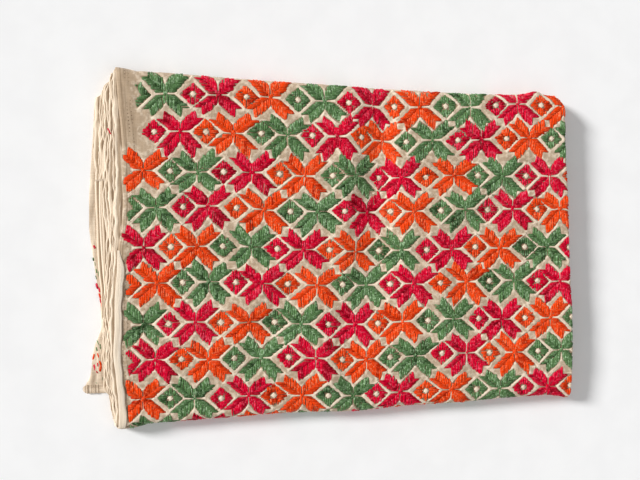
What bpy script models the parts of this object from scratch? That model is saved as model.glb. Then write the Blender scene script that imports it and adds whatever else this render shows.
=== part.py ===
"""A phulkari shawl, folded and lying flat.

The cloth is folded in half along its length, which puts the fold at +X and both selvedges
at -X. It is then folded across in six, so twelve plies lie on each other. Seen from the
left, the plies nest like rings round the middle of the pile: ring 1 is the outermost.
A depth of 0 is the outside of the pile and a depth of 1 is its middle layer.
"""

import math

import bmesh
import bpy
import numpy as np

MM = 0.001
COLLECTION = "folded_phulkari_shawl"

# The pile's height at its edges, and what the middle adds to it
EDGE_HEIGHT = 23.5 * MM
CROWN = 3.0 * MM
LEFT_DROOP = 2.5 * MM
FRONT_DROP = 4.0 * MM

# The cloth in the pile: six rings of plies, two to each side of the middle
RINGS = 6
PLIES = 2 * RINGS
RING_DEPTH = 1 / RINGS
CLOTH_SHARE = 0.80
CLOTH_DEPTH = CLOTH_SHARE * RING_DEPTH
BAND_DEPTH = 2 * RING_DEPTH
SLIT = RING_DEPTH - CLOTH_DEPTH
GAP = 0.3 * MM

# The lengthwise fold at the right, and the cross folds at both ends
TURN_RADIUS = 1.9 * MM
TURNED_IN = 10.0 * MM
CLOTH = 1.6 * MM
END_RUN = 12.0 * MM
END_FULLNESS = 2.6

# Where the fanned margins leave the hidden plies, and a line half-way across them
CORE_LEFT = -206.0 * MM
MARGIN_LINE = -220.0 * MM

# The free end of the lowest ply, its hem, and the fold that goes under beside it
FREE_END = -144.2 * MM
HEM_WIDTH = 9.3 * MM
HEM_HEIGHT = 2.8 * MM
HEM_PRESSED = 1.5 * MM
HEM_LEFT = -270.0 * MM
HEM_FREE = -257.0 * MM
HEM_COVERED = -252.0 * MM
HEM_RIGHT = 261.0 * MM
UNDER_START = FREE_END - HEM_WIDTH - 4 * GAP

# The turned-back selvedge on the top panel's left edge
TURNED_START = -2.0 * MM
TURNED_WIDTH = 9.0 * MM
TURNED_OVERHANG = 0.6 * MM
TURNED_LIFT = 0.03
TURNED_DEPTH = 0.125

# The cross folds seen from above, in mm
BACK_FOLD_COLUMNS = ("x", "y")
BACK_FOLD_ROWS = (
    (-236, 188.5),
    (-211, 184.5),
    (-169, 183.0),
    (-106, 179.5),
    (-8, 176.0),
    (53, 173.2),
    (120, 171.4),
    (180, 170.6),
    (211, 172.2),
    (224, 175.6),
    (236, 171.6),
    (245, 171.2),
    (252, 167.0),
    (260, 158.0),
)
FRONT_FOLD_COLUMNS = ("x", "y")
FRONT_FOLD_ROWS = (
    (-234, -188.5),
    (-218, -187.7),
    (-200, -183.4),
    (-169, -182.0),
    (-106, -179.0),
    (-41, -176.8),
    (14, -177.4),
    (58, -174.6),
    (84, -173.0),
    (139, -171.4),
    (185, -168.4),
    (239, -166.5),
    (268, -171.0),
)

# The lengthwise fold seen from above: the top panel's, and the two bands under it, in mm
RIGHT_FOLD_COLUMNS = ("y", "panel", "second_band", "third_band")
RIGHT_FOLD_ROWS = (
    (-171, 264.2, 262.5, 261.0),
    (-160, 265.6, 264.0, 262.0),
    (-94, 265.6, 263.8, 259.6),
    (-50, 263.8, 262.8, 260.2),
    (-14, 262.0, 261.0, 258.0),
    (54, 260.4, 258.0, 257.4),
    (111, 257.2, 256.2, 253.4),
    (150, 256.8, 254.6, 253.2),
    (176, 254.0, 252.0, 250.0),
)

# The fanned selvedges seen from above, from the top one down to the lowest, in mm
LEFT_EDGE_COLUMNS = ("y", "edge_0", "edge_1", "edge_2", "edge_3", "edge_4", "edge_5", "edge_6")
LEFT_EDGE_ROWS = (
    (188, -234.0, -235.2, -236.6, -237.0, -237.4, -237.8, -238.2),
    (180, -233.8, -237.2, -239.8, -240.2, -240.5, -240.8, -241.1),
    (174, -233.6, -237.4, -240.6, -241.2, -241.5, -241.8, -242.1),
    (171, -233.4, -237.4, -241.2, -245.2, -245.6, -246.0, -246.4),
    (164, -232.9, -237.2, -242.0, -247.8, -249.4, -249.8, -250.2),
    (161, -232.7, -237.1, -241.9, -248.0, -250.0, -250.6, -251.0),
    (159, -232.5, -237.0, -241.8, -248.1, -250.2, -256.6, -257.4),
    (145, -231.4, -236.5, -241.6, -247.0, -250.3, -257.2, -258.7),
    (124, -229.1, -236.0, -241.1, -245.8, -249.6, -258.0, -259.6),
    (103, -227.8, -235.1, -241.1, -246.3, -251.1, -258.9, -261.0),
    (77, -227.6, -234.8, -242.6, -247.9, -251.8, -257.0, -262.6),
    (50, -227.0, -234.8, -242.1, -248.1, -252.6, -255.9, -263.7),
    (24, -228.0, -235.9, -239.7, -245.8, -252.1, -254.6, -263.7),
    (-2, -231.6, -236.3, -240.5, -244.8, -250.6, -253.9, -260.7),
    (-28, -232.2, -237.3, -241.6, -245.8, -248.6, -252.3, -257.1),
    (-44, -233.6, -238.4, -242.8, -244.6, -247.4, -250.4, -254.6),
    (-55, -234.4, -239.4, -243.6, -246.8, -248.6, -250.0, -252.7),
    (-81, -234.4, -239.9, -243.1, -246.3, -248.6, -249.8, -251.2),
    (-107, -235.7, -239.9, -242.6, -245.3, -248.0, -249.3, -259.2),
    (-133, -233.2, -238.3, -241.1, -244.3, -246.5, -248.0, -262.2),
    (-150, -231.6, -237.2, -240.0, -242.4, -245.2, -247.0, -269.0),
    (-154, -231.2, -235.8, -238.6, -240.6, -242.4, -243.4, -244.0),
    (-172, -230.5, -234.2, -236.6, -238.0, -239.4, -240.2, -240.8),
    (-186, -230.4, -234.2, -235.6, -236.4, -237.0, -237.4, -237.8),
)

# Which of those edges each ply of the pile follows, from the top ply down
EDGE_OF_PLY = (0, 1, 1.35, 2, 2.5, 3, 3.4, 4, 4.3, 5, 5.12, 6)

# The largest soft troughs and swells of the top: middle, half length, half width and the
# way they run, in mm and degrees, and their height in mm
SWELL_COLUMNS = ("x", "y", "length", "width", "turn", "height")
SWELL_ROWS = (
    (32, 70, 120, 26, 84, -1.7),
    (-22, 40, 110, 30, 78, 1.0),
    (96, 30, 120, 34, 96, 1.0),
    (-150, 110, 80, 40, 10, 0.9),
    (-120, -20, 110, 24, 28, -1.0),
    (40, -110, 130, 30, 12, 0.9),
    (180, -60, 100, 28, 60, -1.1),
    (200, 110, 60, 36, 20, 0.8),
    (-170, -110, 70, 30, 70, 0.9),
)

# Colour, then roughness, of each piece
CREAM = (0.70, 0.61, 0.47, 1.0)
CREAM_DEEP = (0.60, 0.51, 0.38, 1.0)
CREAM_LIGHT = (0.78, 0.70, 0.57, 1.0)
COTTON_ROUGHNESS = 0.9

# How finely the curved stretches are divided
END_STEPS = 7
TOP_STEPS = 16
ACROSS_STEPS = 16
TURN_STEPS = 5
UNDER_STEPS = 2
BOTTOM_STEPS = 12
HEM_STEPS = 16
HEM_SIDES = 10
STRIP_STEPS = 16
STRIP_SIDES = 4


def columns(names, rows, scale=MM):
    """A table's columns by name, in metres."""
    return {name: column * scale for name, column in zip(names, np.array(rows, float).T)}


def along(knots, values, at):
    """The value at a place, on a smooth curve through a table's rows."""
    if knots[0] > knots[-1]:
        knots, values = knots[::-1], values[::-1]
    rises = np.diff(values) / np.diff(knots)
    slopes = np.concatenate([rises[:1], np.zeros(len(rises) - 1), rises[-1:]])
    level = rises[:-1] * rises[1:]
    same_way = np.flatnonzero(level > 0)
    pairs = rises[same_way] + rises[same_way + 1]
    slopes[same_way + 1] = 2 * level[same_way] / pairs
    i = int(np.clip(np.searchsorted(knots, at) - 1, 0, len(knots) - 2))
    span = knots[i + 1] - knots[i]
    t = min(max((at - knots[i]) / span, 0.0), 1.0)
    start = (1 + 2 * t) * (1 - t) ** 2 * values[i] + t * (1 - t) ** 2 * span * slopes[i]
    end = t * t * (3 - 2 * t) * values[i + 1] - t * t * (1 - t) * span * slopes[i + 1]
    return float(start + end)


def ease(t):
    """A smooth step from 0 to 1."""
    t = min(max(t, 0.0), 1.0)
    return t * t * (3 - 2 * t)


BACK_FOLD = columns(BACK_FOLD_COLUMNS, BACK_FOLD_ROWS)
FRONT_FOLD = columns(FRONT_FOLD_COLUMNS, FRONT_FOLD_ROWS)
RIGHT_FOLD = columns(RIGHT_FOLD_COLUMNS, RIGHT_FOLD_ROWS)
LEFT_EDGE = columns(LEFT_EDGE_COLUMNS, LEFT_EDGE_ROWS)


def back_fold(x):
    return along(BACK_FOLD["x"], BACK_FOLD["y"], x)


def front_fold(x):
    return along(FRONT_FOLD["x"], FRONT_FOLD["y"], x)


def right_fold(y, which="panel"):
    return along(RIGHT_FOLD["y"], RIGHT_FOLD[which], y)


def left_edge(ply, y):
    """X of a ply's selvedge, between the two nearest edges of the table."""
    place = EDGE_OF_PLY[ply - 1]
    low = min(int(place), len(LEFT_EDGE_COLUMNS) - 3)
    a = along(LEFT_EDGE["y"], LEFT_EDGE[f"edge_{low}"], y)
    b = along(LEFT_EDGE["y"], LEFT_EDGE[f"edge_{low + 1}"], y)
    return a + (b - a) * (place - low)


def pile_height(x, y):
    """The height of the pile at a place, with its crown, its lower front and its swells."""
    height = EDGE_HEIGHT
    height += CROWN * max(0.0, 1 - (x / 0.27) ** 2) * max(0.0, 1 - (y / 0.19) ** 2)
    height -= LEFT_DROOP * ease((-0.224 - x) / 0.045)
    height -= FRONT_DROP * ease((-0.118 - y) / 0.058)
    for row in SWELL_ROWS:
        swell = dict(zip(SWELL_COLUMNS, row))
        turn = math.radians(swell["turn"])
        dx = x / MM - swell["x"]
        dy = y / MM - swell["y"]
        lengthwise = (dx * math.cos(turn) + dy * math.sin(turn)) / swell["length"]
        across = (dy * math.cos(turn) - dx * math.sin(turn)) / swell["width"]
        height += swell["height"] * MM * math.exp(-(lengthwise**2) - across**2)
    return height


# A run goes once round the pile: 0 to 1 up the front fold, 1 to 2 back over the top,
# 2 to 3 down the back fold, and 3 to 4 forward under the bottom.
def run_for_y(y, x, under=False):
    """The run at which the top, or the bottom, passes over a y."""
    front = front_fold(x) + END_RUN
    back = back_fold(x) - END_RUN
    share = (y - front) / (back - front)
    return 4 - share if under else 1 + share


def pile_point(x, run, depth):
    """A point of the pile from its x, its run round the pile and its depth."""
    run %= 4
    front, back = front_fold(x), back_fold(x)
    half = EDGE_HEIGHT / 2
    if run <= 1 or 2 <= run <= 3:
        phi = math.pi * ((run - 0.5) if run <= 1 else (2.5 - run))
        sine = math.copysign(abs(math.sin(phi)) ** (2 / END_FULLNESS), math.sin(phi))
        cosine = max(math.cos(phi), 0.0) ** (2 / END_FULLNESS)
        inward = half * depth + (END_RUN - half * depth) * (1 - cosine)
        y = front + inward if run <= 1 else back - inward
        level = 0.5 + 0.5 * (1 - depth) * sine
    else:
        share = (run - 1) if run < 2 else (4 - run)
        y = front + END_RUN + share * (back - front - 2 * END_RUN)
        level = 1 - depth / 2 if run < 2 else depth / 2
    return x, y, pile_height(x, y) * level


def ring_edge(ring, run):
    """X of the selvedge of a ring, which joins an upper ply to a lower one."""
    upper, lower = ring, PLIES + 1 - ring
    run %= 4
    x = CORE_LEFT
    for _ in range(3):
        y = pile_point(x, run, (ring - 1) * RING_DEPTH)[1]
        if run <= 1:
            share = ease(run)
        elif run < 2:
            share = 1.0
        elif run <= 3:
            share = ease(3 - run)
        else:
            share = 0.0
        x = share * left_edge(upper, y) + (1 - share) * left_edge(lower, y)
    return x


def runs(start, end, ends=END_STEPS, flats=TOP_STEPS):
    """The runs from a start to an end, with whole steps round each fold."""
    marks = []
    for whole in range(4):
        steps = ends if whole % 2 == 0 else flats
        marks += [whole + step / steps for step in range(steps)]
    inner = [mark for mark in marks if start + 0.02 < mark < end - 0.02]
    return [start] + inner + [end]


def shared_out(start, end, steps):
    return [start + (end - start) * step / steps for step in range(steps + 1)]


def new_object(name, mesh_data, colour):
    """An object in the shawl's collection, from a filled bmesh, with its cotton."""
    bmesh.ops.recalc_face_normals(mesh_data, faces=mesh_data.faces)
    mesh = bpy.data.meshes.new(name)
    mesh_data.to_mesh(mesh)
    mesh_data.free()
    mesh.shade_smooth()
    mesh.set_sharp_from_angle(angle=math.radians(40))
    piece = bpy.data.objects.new(name, mesh)
    bpy.data.collections[COLLECTION].objects.link(piece)
    mesh.materials.append(cotton(name + "_cotton", colour))
    return piece


def cotton(name, colour):
    material = bpy.data.materials.new(name)
    material.use_nodes = True
    shader = material.node_tree.nodes["Principled BSDF"]
    shader.inputs["Base Color"].default_value = colour
    shader.inputs["Roughness"].default_value = COTTON_ROUGHNESS
    shader.inputs["Metallic"].default_value = 0.0
    return material


def wall(name, outside, inside, colour):
    """A closed wall of cloth between two sheets of points with the same rows."""
    made = bmesh.new()
    sheets = [[[made.verts.new(point) for point in row] for row in s] for s in (outside, inside)]
    rows, across = len(outside), len(outside[0])
    for sheet in sheets:
        for i in range(rows - 1):
            for j in range(across - 1):
                corners = (sheet[i][j], sheet[i][j + 1], sheet[i + 1][j + 1], sheet[i + 1][j])
                made.faces.new(corners)
    rim = [(0, j) for j in range(across)]
    rim += [(i, across - 1) for i in range(1, rows)]
    rim += [(rows - 1, j) for j in range(across - 2, -1, -1)]
    rim += [(i, 0) for i in range(rows - 2, 0, -1)]
    outer, inner = sheets
    for (i, j), (k, m) in zip(rim, rim[1:] + rim[:1]):
        made.faces.new((outer[i][j], outer[k][m], inner[k][m], inner[i][j]))
    return new_object(name, made, colour)


def loft(name, rings, colour):
    """A closed solid through rings of points. A first or last ring that is flat closes it."""
    made = bmesh.new()
    loops = [[made.verts.new(point) for point in ring] for ring in rings]
    for near, far in zip(loops, loops[1:]):
        for i in range(len(near)):
            j = (i + 1) % len(near)
            made.faces.new((near[i], near[j], far[j], far[i]))
    bmesh.ops.remove_doubles(made, verts=made.verts, dist=1e-7)
    bmesh.ops.dissolve_degenerate(made, edges=made.edges, dist=1e-7)
    loose = [vert for vert in made.verts if not vert.link_faces]
    bmesh.ops.delete(made, geom=loose, context="VERTS")
    bmesh.ops.holes_fill(made, edges=made.edges, sides=0)
    return new_object(name, made, colour)


def fold_marks(outer_depth, inner_depth, radius, cloth, cloth_depth):
    """Offsets of the turn at the lengthwise fold: (inset, depth) outside and inside."""
    middle = (outer_depth + inner_depth) / 2
    half = (inner_depth - outer_depth) / 2
    outside, inside = [], []
    for angle in shared_out(0, math.pi, TURN_STEPS):
        outside.append((radius - radius * math.sin(angle), middle - half * math.cos(angle)))
        thin = (radius - cloth) * math.sin(angle)
        inside.append((radius - thin, middle - (half - cloth_depth) * math.cos(angle)))
    return outside, inside


def across_core(right):
    """The x stations that the core shares with the panels over and under it."""
    return shared_out(CORE_LEFT, right - TURNED_IN - 2 * GAP, ACROSS_STEPS)


def panel_rows(run_list):
    """Both faces of a ply of ring 1, from its selvedge to past its lengthwise fold."""
    turned = BAND_DEPTH - SLIT
    turn_out, turn_in = fold_marks(0.0, turned, TURN_RADIUS, CLOTH, CLOTH_DEPTH)
    outside, inside = [], []
    for run in run_list:
        right = right_fold(pile_point(right_fold(0.0), run, 0.0)[1])
        flats = [ring_edge(1, run), MARGIN_LINE] + across_core(right)
        out_row = [pile_point(x, run, 0.0) for x in flats]
        in_row = [pile_point(x, run, CLOTH_DEPTH) for x in flats]
        out_row += [pile_point(right - inset, run, depth) for inset, depth in turn_out]
        in_row += [pile_point(right - inset, run, depth) for inset, depth in turn_in]
        for back_in in (right - TURNED_IN / 2, right - TURNED_IN):
            out_row.append(pile_point(back_in, run, turned))
            in_row.append(pile_point(back_in, run, turned - CLOTH_DEPTH))
        outside.append(out_row)
        inside.append(in_row)
    return outside, inside


def top_panel():
    under = run_for_y(UNDER_START, HEM_LEFT, under=True) - 4
    run_list = shared_out(under, 0.0, UNDER_STEPS)[:-1] + runs(0.0, 3.0)
    outside, inside = panel_rows(run_list)
    return wall("top_panel", outside, inside, CREAM)


def bottom_panel():
    """The lowest ply, flat on the surface, from its hem to the foot of the back fold."""
    start = 3.0 + GAP / (back_fold(0.0) - front_fold(0.0))
    end = run_for_y(FREE_END, HEM_LEFT, under=True)
    run_list = shared_out(start, end, BOTTOM_STEPS)
    outside, inside = panel_rows(run_list)
    return wall("bottom_panel", outside, inside, CREAM_DEEP)


def left_plies():
    """The fanned margins of the rings under the top panel, open beside the hem."""
    made = []
    start = run_for_y(UNDER_START, HEM_LEFT, under=True) - 4
    end = run_for_y(FREE_END, HEM_LEFT, under=True)
    for ring in range(2, RINGS + 1):
        near = (ring - 1) * RING_DEPTH
        outside, inside = [], []
        for run in [start] + runs(0.0, end):
            across = (CORE_LEFT - GAP, MARGIN_LINE, ring_edge(ring, run))
            outside.append([pile_point(x, run, near) for x in across])
            inside.append([pile_point(x, run, near + CLOTH_DEPTH) for x in across])
        colour = CREAM_LIGHT if ring % 2 else CREAM_DEEP
        made.append(wall(f"left_ply_{ring}", outside, inside, colour))
    return made


def core_ring(depth, x_at):
    """One ring of the core, at a depth, with its x from each run's y on the outside."""
    ring = []
    for run in runs(0.0, 4.0)[:-1]:
        y = pile_point(right_fold(0.0), run, 0.0)[1]
        ring.append(pile_point(x_at(y), run, depth))
    return ring


def folded_core():
    """The hidden plies: plain where cloth covers them, two rounded bands at the right."""
    groove = 3 * TURN_RADIUS
    rings = [core_ring(1.0, lambda y: CORE_LEFT)]
    for station in range(ACROSS_STEPS + 1):
        rings.append(core_ring(RING_DEPTH, lambda y, i=station: across_core(right_fold(y))[i]))
    rings.append(core_ring(BAND_DEPTH, lambda y: right_fold(y) - TURNED_IN - GAP))
    for band, which in ((1, "second_band"), (2, "third_band")):
        near = band * BAND_DEPTH
        far = near + BAND_DEPTH - SLIT
        turn_out, _ = fold_marks(near, far, TURN_RADIUS, CLOTH, CLOTH_DEPTH)
        for inset, depth in turn_out + [(groove, far)]:
            rings.append(core_ring(depth, lambda y, i=inset, w=which: right_fold(y, w) - i))
    rings.append(core_ring(1.0, lambda y: right_fold(y, "third_band") - groove))
    return loft("folded_core", rings, CREAM_DEEP)


def turned_selvedge():
    """The margin turned back over the top panel, open along its inner edge."""
    start = run_for_y(TURNED_START, CORE_LEFT)
    outside, inside = [], []
    for run in shared_out(0.72, start, STRIP_STEPS):
        left = ring_edge(1, run) - TURNED_OVERHANG
        outer_row, inner_row = [], []
        for share in shared_out(0.0, 1.0, STRIP_SIDES):
            x = left + share * (TURNED_WIDTH + TURNED_OVERHANG)
            curl = TURNED_LIFT + 0.04 * share**3
            full = TURNED_DEPTH * (0.55 + 0.45 * math.sin(math.pi * min(2 * share, 0.5)))
            outer_row.append(pile_point(x, run, -curl - full))
            inner_row.append(pile_point(x, run, -curl))
        outside.append(outer_row)
        inside.append(inner_row)
    return wall("turned_selvedge", outside, inside, CREAM_LIGHT)


def end_hem():
    """The rolled hem of the lowest ply: full where it shows, pressed under the pile."""
    places = shared_out(HEM_LEFT, CORE_LEFT, HEM_STEPS)[:-1]
    places += shared_out(CORE_LEFT, HEM_RIGHT, HEM_STEPS)
    rings = []
    free_run = run_for_y(FREE_END, HEM_LEFT, under=True)
    under_run = run_for_y(UNDER_START, HEM_LEFT, under=True)
    for x in places:
        pressed = ease((x - HEM_FREE) / (HEM_COVERED - HEM_FREE))
        height = HEM_HEIGHT + (HEM_PRESSED - HEM_HEIGHT) * pressed
        back = pile_point(x, free_run, 0.0)[1] - GAP
        front = pile_point(x, under_run, 0.0)[1] + 2 * GAP
        ring = []
        for side in range(HEM_SIDES):
            angle = 2 * math.pi * (side + 0.5) / HEM_SIDES
            lift = 0.5 + 0.5 * math.copysign(abs(math.sin(angle)) ** 0.6, math.sin(angle))
            out = math.copysign(abs(math.cos(angle)) ** 0.6, math.cos(angle))
            ring.append((x, (back + front) / 2 + out * (back - front) / 2, height * lift))
        rings.append(ring)
    return loft("end_hem", rings, CREAM_LIGHT)


def clear_scene():
    for piece in list(bpy.data.objects):
        bpy.data.objects.remove(piece, do_unlink=True)
    for collection in list(bpy.data.collections):
        bpy.data.collections.remove(collection)


def main():
    clear_scene()
    collection = bpy.data.collections.new(COLLECTION)
    bpy.context.scene.collection.children.link(collection)
    top_panel()
    turned_selvedge()
    left_plies()
    bottom_panel()
    end_hem()
    folded_core()


main()
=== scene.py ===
"""The looks of a phulkari shawl that lies folded: its cloth, its floss, the light, the camera.

The cloth is measured two ways. On the pile, a point has an x, a run round the pile and a
depth, as in the frame. On the flat cloth, it has an x and an s, its distance along the
cloth from the line that lies at y = 0 on the top.
"""

import math

import bpy
import numpy as np
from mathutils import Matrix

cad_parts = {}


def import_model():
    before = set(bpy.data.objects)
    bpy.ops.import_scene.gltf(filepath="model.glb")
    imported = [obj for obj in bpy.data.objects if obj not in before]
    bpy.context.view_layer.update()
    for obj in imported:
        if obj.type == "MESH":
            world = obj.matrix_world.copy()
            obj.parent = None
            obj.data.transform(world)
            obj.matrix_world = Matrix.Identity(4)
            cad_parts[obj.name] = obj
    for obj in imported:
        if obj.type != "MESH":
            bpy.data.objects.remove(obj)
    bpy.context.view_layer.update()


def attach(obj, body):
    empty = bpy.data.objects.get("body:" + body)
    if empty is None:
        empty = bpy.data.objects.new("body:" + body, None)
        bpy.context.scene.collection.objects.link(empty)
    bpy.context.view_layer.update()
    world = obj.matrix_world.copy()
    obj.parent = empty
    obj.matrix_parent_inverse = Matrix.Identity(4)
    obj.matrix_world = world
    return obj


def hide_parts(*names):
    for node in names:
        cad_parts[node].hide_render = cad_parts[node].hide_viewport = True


MM = 0.001

# The pile, with the same sizes as the frame
EDGE_HEIGHT = 23.5 * MM
CROWN = 3.0 * MM
LEFT_DROOP = 2.5 * MM
FRONT_DROP = 4.0 * MM
RINGS = 6
PLIES = 2 * RINGS
RING_DEPTH = 1 / RINGS
CLOTH_DEPTH = 0.80 * RING_DEPTH
BAND_DEPTH = 2 * RING_DEPTH
SLIT = RING_DEPTH - CLOTH_DEPTH
GAP = 0.3 * MM
TURN_RADIUS = 1.9 * MM
TURNED_IN = 10.0 * MM
END_RUN = 12.0 * MM
END_FULLNESS = 2.6
CORE_LEFT = -206.0 * MM
FREE_END = -144.2 * MM
HEM_WIDTH = 9.3 * MM
HEM_HEIGHT = 2.8 * MM
HEM_PRESSED = 1.5 * MM
HEM_LEFT = -270.0 * MM
HEM_FREE = -257.0 * MM
HEM_COVERED = -252.0 * MM
HEM_RIGHT = 261.0 * MM
UNDER_START = FREE_END - HEM_WIDTH - 4 * GAP
TURNED_START = -2.0 * MM
TURNED_OVERHANG = 0.6 * MM

# How far the crown reaches, and where the left droops and the front drops
CROWN_X = 0.27
CROWN_Y = 0.19
DROOP_X = -0.224
DROOP_SPAN = 0.045
DROP_Y = -0.118
DROP_SPAN = 0.058

# How far the hem is fuller than in the frame, and how much of the turned strip shows
HEM_BACK = 0.4 * MM
HEM_FORWARD = 1.9 * MM
TURNED_SHOWN = 7.2 * MM

# The last x at which the panel's own run is looked up, and the x that the bands use
PANEL_LAST_X = 0.262
BAND_X = 0.255

# What is stitched on the flat cloth, in mm: from and to which s, up to which x, and the
# corner at the back left that stays plain
STITCHED_FROM = -219
STITCHED_TO = 214
STITCHED_RIGHT = 279
PLAIN_CORNER = (-165, 186)
SHORTEST_STITCH = 1.6

# The cross folds seen from above, in mm
BACK_FOLD_COLUMNS = ("x", "y")
BACK_FOLD_ROWS = (
    (-236, 188.5),
    (-211, 184.5),
    (-169, 183.0),
    (-106, 179.5),
    (-8, 176.0),
    (53, 173.2),
    (120, 171.4),
    (180, 170.6),
    (211, 172.2),
    (224, 175.6),
    (236, 171.6),
    (245, 171.2),
    (252, 167.0),
    (260, 158.0),
)
FRONT_FOLD_COLUMNS = ("x", "y")
FRONT_FOLD_ROWS = (
    (-234, -188.5),
    (-218, -187.7),
    (-200, -183.4),
    (-169, -182.0),
    (-106, -179.0),
    (-41, -176.8),
    (14, -177.4),
    (58, -174.6),
    (84, -173.0),
    (139, -171.4),
    (185, -168.4),
    (239, -166.5),
    (268, -171.0),
)

# The lengthwise fold seen from above: the top panel's, and the two bands under it, in mm
RIGHT_FOLD_COLUMNS = ("y", "panel", "second_band", "third_band")
RIGHT_FOLD_ROWS = (
    (-171, 264.2, 262.5, 261.0),
    (-160, 265.6, 264.0, 262.0),
    (-94, 265.6, 263.8, 259.6),
    (-50, 263.8, 262.8, 260.2),
    (-14, 262.0, 261.0, 258.0),
    (54, 260.4, 258.0, 257.4),
    (111, 257.2, 256.2, 253.4),
    (150, 256.8, 254.6, 253.2),
    (176, 254.0, 252.0, 250.0),
)

# The fanned selvedges seen from above, from the top one down to the lowest, in mm
LEFT_EDGE_COLUMNS = ("y", "edge_0", "edge_1", "edge_2", "edge_3", "edge_4", "edge_5", "edge_6")
LEFT_EDGE_ROWS = (
    (188, -234.0, -235.2, -236.6, -237.0, -237.4, -237.8, -238.2),
    (180, -233.8, -237.2, -239.8, -240.2, -240.5, -240.8, -241.1),
    (174, -233.6, -237.4, -240.6, -241.2, -241.5, -241.8, -242.1),
    (171, -233.4, -237.4, -241.2, -245.2, -245.6, -246.0, -246.4),
    (164, -232.9, -237.2, -242.0, -247.8, -249.4, -249.8, -250.2),
    (161, -232.7, -237.1, -241.9, -248.0, -250.0, -250.6, -251.0),
    (159, -232.5, -237.0, -241.8, -248.1, -250.2, -256.6, -257.4),
    (145, -231.4, -236.5, -241.6, -247.0, -250.3, -257.2, -258.7),
    (124, -229.1, -236.0, -241.1, -245.8, -249.6, -258.0, -259.6),
    (103, -227.8, -235.1, -241.1, -246.3, -251.1, -258.9, -261.0),
    (77, -227.6, -234.8, -242.6, -247.9, -251.8, -257.0, -262.6),
    (50, -227.0, -234.8, -242.1, -248.1, -252.6, -255.9, -263.7),
    (24, -228.0, -235.9, -239.7, -245.8, -252.1, -254.6, -263.7),
    (-2, -231.6, -236.3, -240.5, -244.8, -250.6, -253.9, -260.7),
    (-28, -232.2, -237.3, -241.6, -245.8, -248.6, -252.3, -257.1),
    (-44, -233.6, -238.4, -242.8, -244.6, -247.4, -250.4, -254.6),
    (-55, -234.4, -239.4, -243.6, -246.8, -248.6, -250.0, -252.7),
    (-81, -234.4, -239.9, -243.1, -246.3, -248.6, -249.8, -251.2),
    (-107, -235.7, -239.9, -242.6, -245.3, -248.0, -249.3, -259.2),
    (-133, -233.2, -238.3, -241.1, -244.3, -246.5, -248.0, -262.2),
    (-150, -231.6, -237.2, -240.0, -242.4, -245.2, -247.0, -269.0),
    (-154, -231.2, -235.8, -238.6, -240.6, -242.4, -243.4, -244.0),
    (-172, -230.5, -234.2, -236.6, -238.0, -239.4, -240.2, -240.8),
    (-186, -230.4, -234.2, -235.6, -236.4, -237.0, -237.4, -237.8),
)

# Which of those edges each ply of the pile follows, from the top ply down
EDGE_OF_PLY = (0, 1, 1.35, 2, 2.5, 3, 3.4, 4, 4.3, 5, 5.12, 6)

# The soft troughs and swells of the top, in mm and degrees
SWELL_COLUMNS = ("x", "y", "length", "width", "turn", "height")
SWELL_ROWS = (
    (32, 70, 120, 26, 84, -1.7),
    (-22, 40, 110, 30, 78, 1.0),
    (96, 30, 120, 34, 96, 1.0),
    (-150, 110, 80, 40, 10, 0.9),
    (-120, -20, 110, 24, 28, -1.0),
    (40, -110, 130, 30, 12, 0.9),
    (180, -60, 100, 28, 60, -1.1),
    (200, 110, 60, 36, 20, 0.8),
    (-170, -110, 70, 30, 70, 0.9),
)

# Creases of the top panel alone, with the columns of the swells
CREASE_ROWS = (
    (8, 60, 130, 15, 86, 3.2),
    (44, 60, 130, 17, 86, -3.2),
    (68, 30, 130, 14, 92, 1.4),
    (-20, -90, 90, 15, 100, 1.6),
    (4, -95, 90, 14, 100, -1.6),
    (-95, -60, 90, 15, 60, 1.6),
    (-70, -75, 80, 13, 62, -1.4),
    (150, 60, 70, 14, 40, 1.6),
    (172, 48, 70, 13, 42, -1.4),
    (-170, 30, 70, 14, 110, 1.4),
    (-146, 30, 70, 13, 110, -1.2),
    (120, -95, 80, 15, 100, 1.4),
    (142, -95, 80, 13, 100, -1.2),
)

# The rows of stars on the flat cloth, from the back to the front: s at the left, what it
# gains towards the right, x of the first star and the pitch, in mm
STAR_ROWS = (
    (222.0, 0.0, -199.0, 55.0),
    (159.0, 0.5, -184.0, 54.8),
    (121.3, 1.0, -168.9, 54.4),
    (80.2, 1.5, -206.5, 55.5),
    (42.8, 1.0, -192.4, 55.3),
    (0.4, 2.0, -205.6, 55.0),
    (-36.6, 1.5, -193.2, 55.4),
    (-78.0, 1.5, -206.6, 55.5),
    (-115.6, 2.0, -192.9, 55.5),
    (-155.9, 1.5, -207.2, 55.4),
    (-194.5, 2.0, -193.4, 55.4),
)
FIRST_ROW = -1
COLOURS = ("green", "crimson", "orange")
CHEVRON_ROWS = (0, 3, 5, 7, 9)
DIAMOND_LEFT_ROWS = (1,)
ODD_DIAMONDS = {(7, 7): "orange"}
ROW_WIDTH = 500.0
ROW_PITCH = 40.0
LAST_STAR = 300.0

# How the soft trough across the top pulls the stars: its middle, how far it reaches, how
# far it draws them forward at the middle of the cloth and more at the back, and how far it
# draws them together, in mm
PULL_MIDDLE = 38.0
PULL_REACH = 78.0
PULL_FORWARD = 3.4
PULL_FORWARD_BACK = 1.4
PULL_TOGETHER = 4.0

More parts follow.
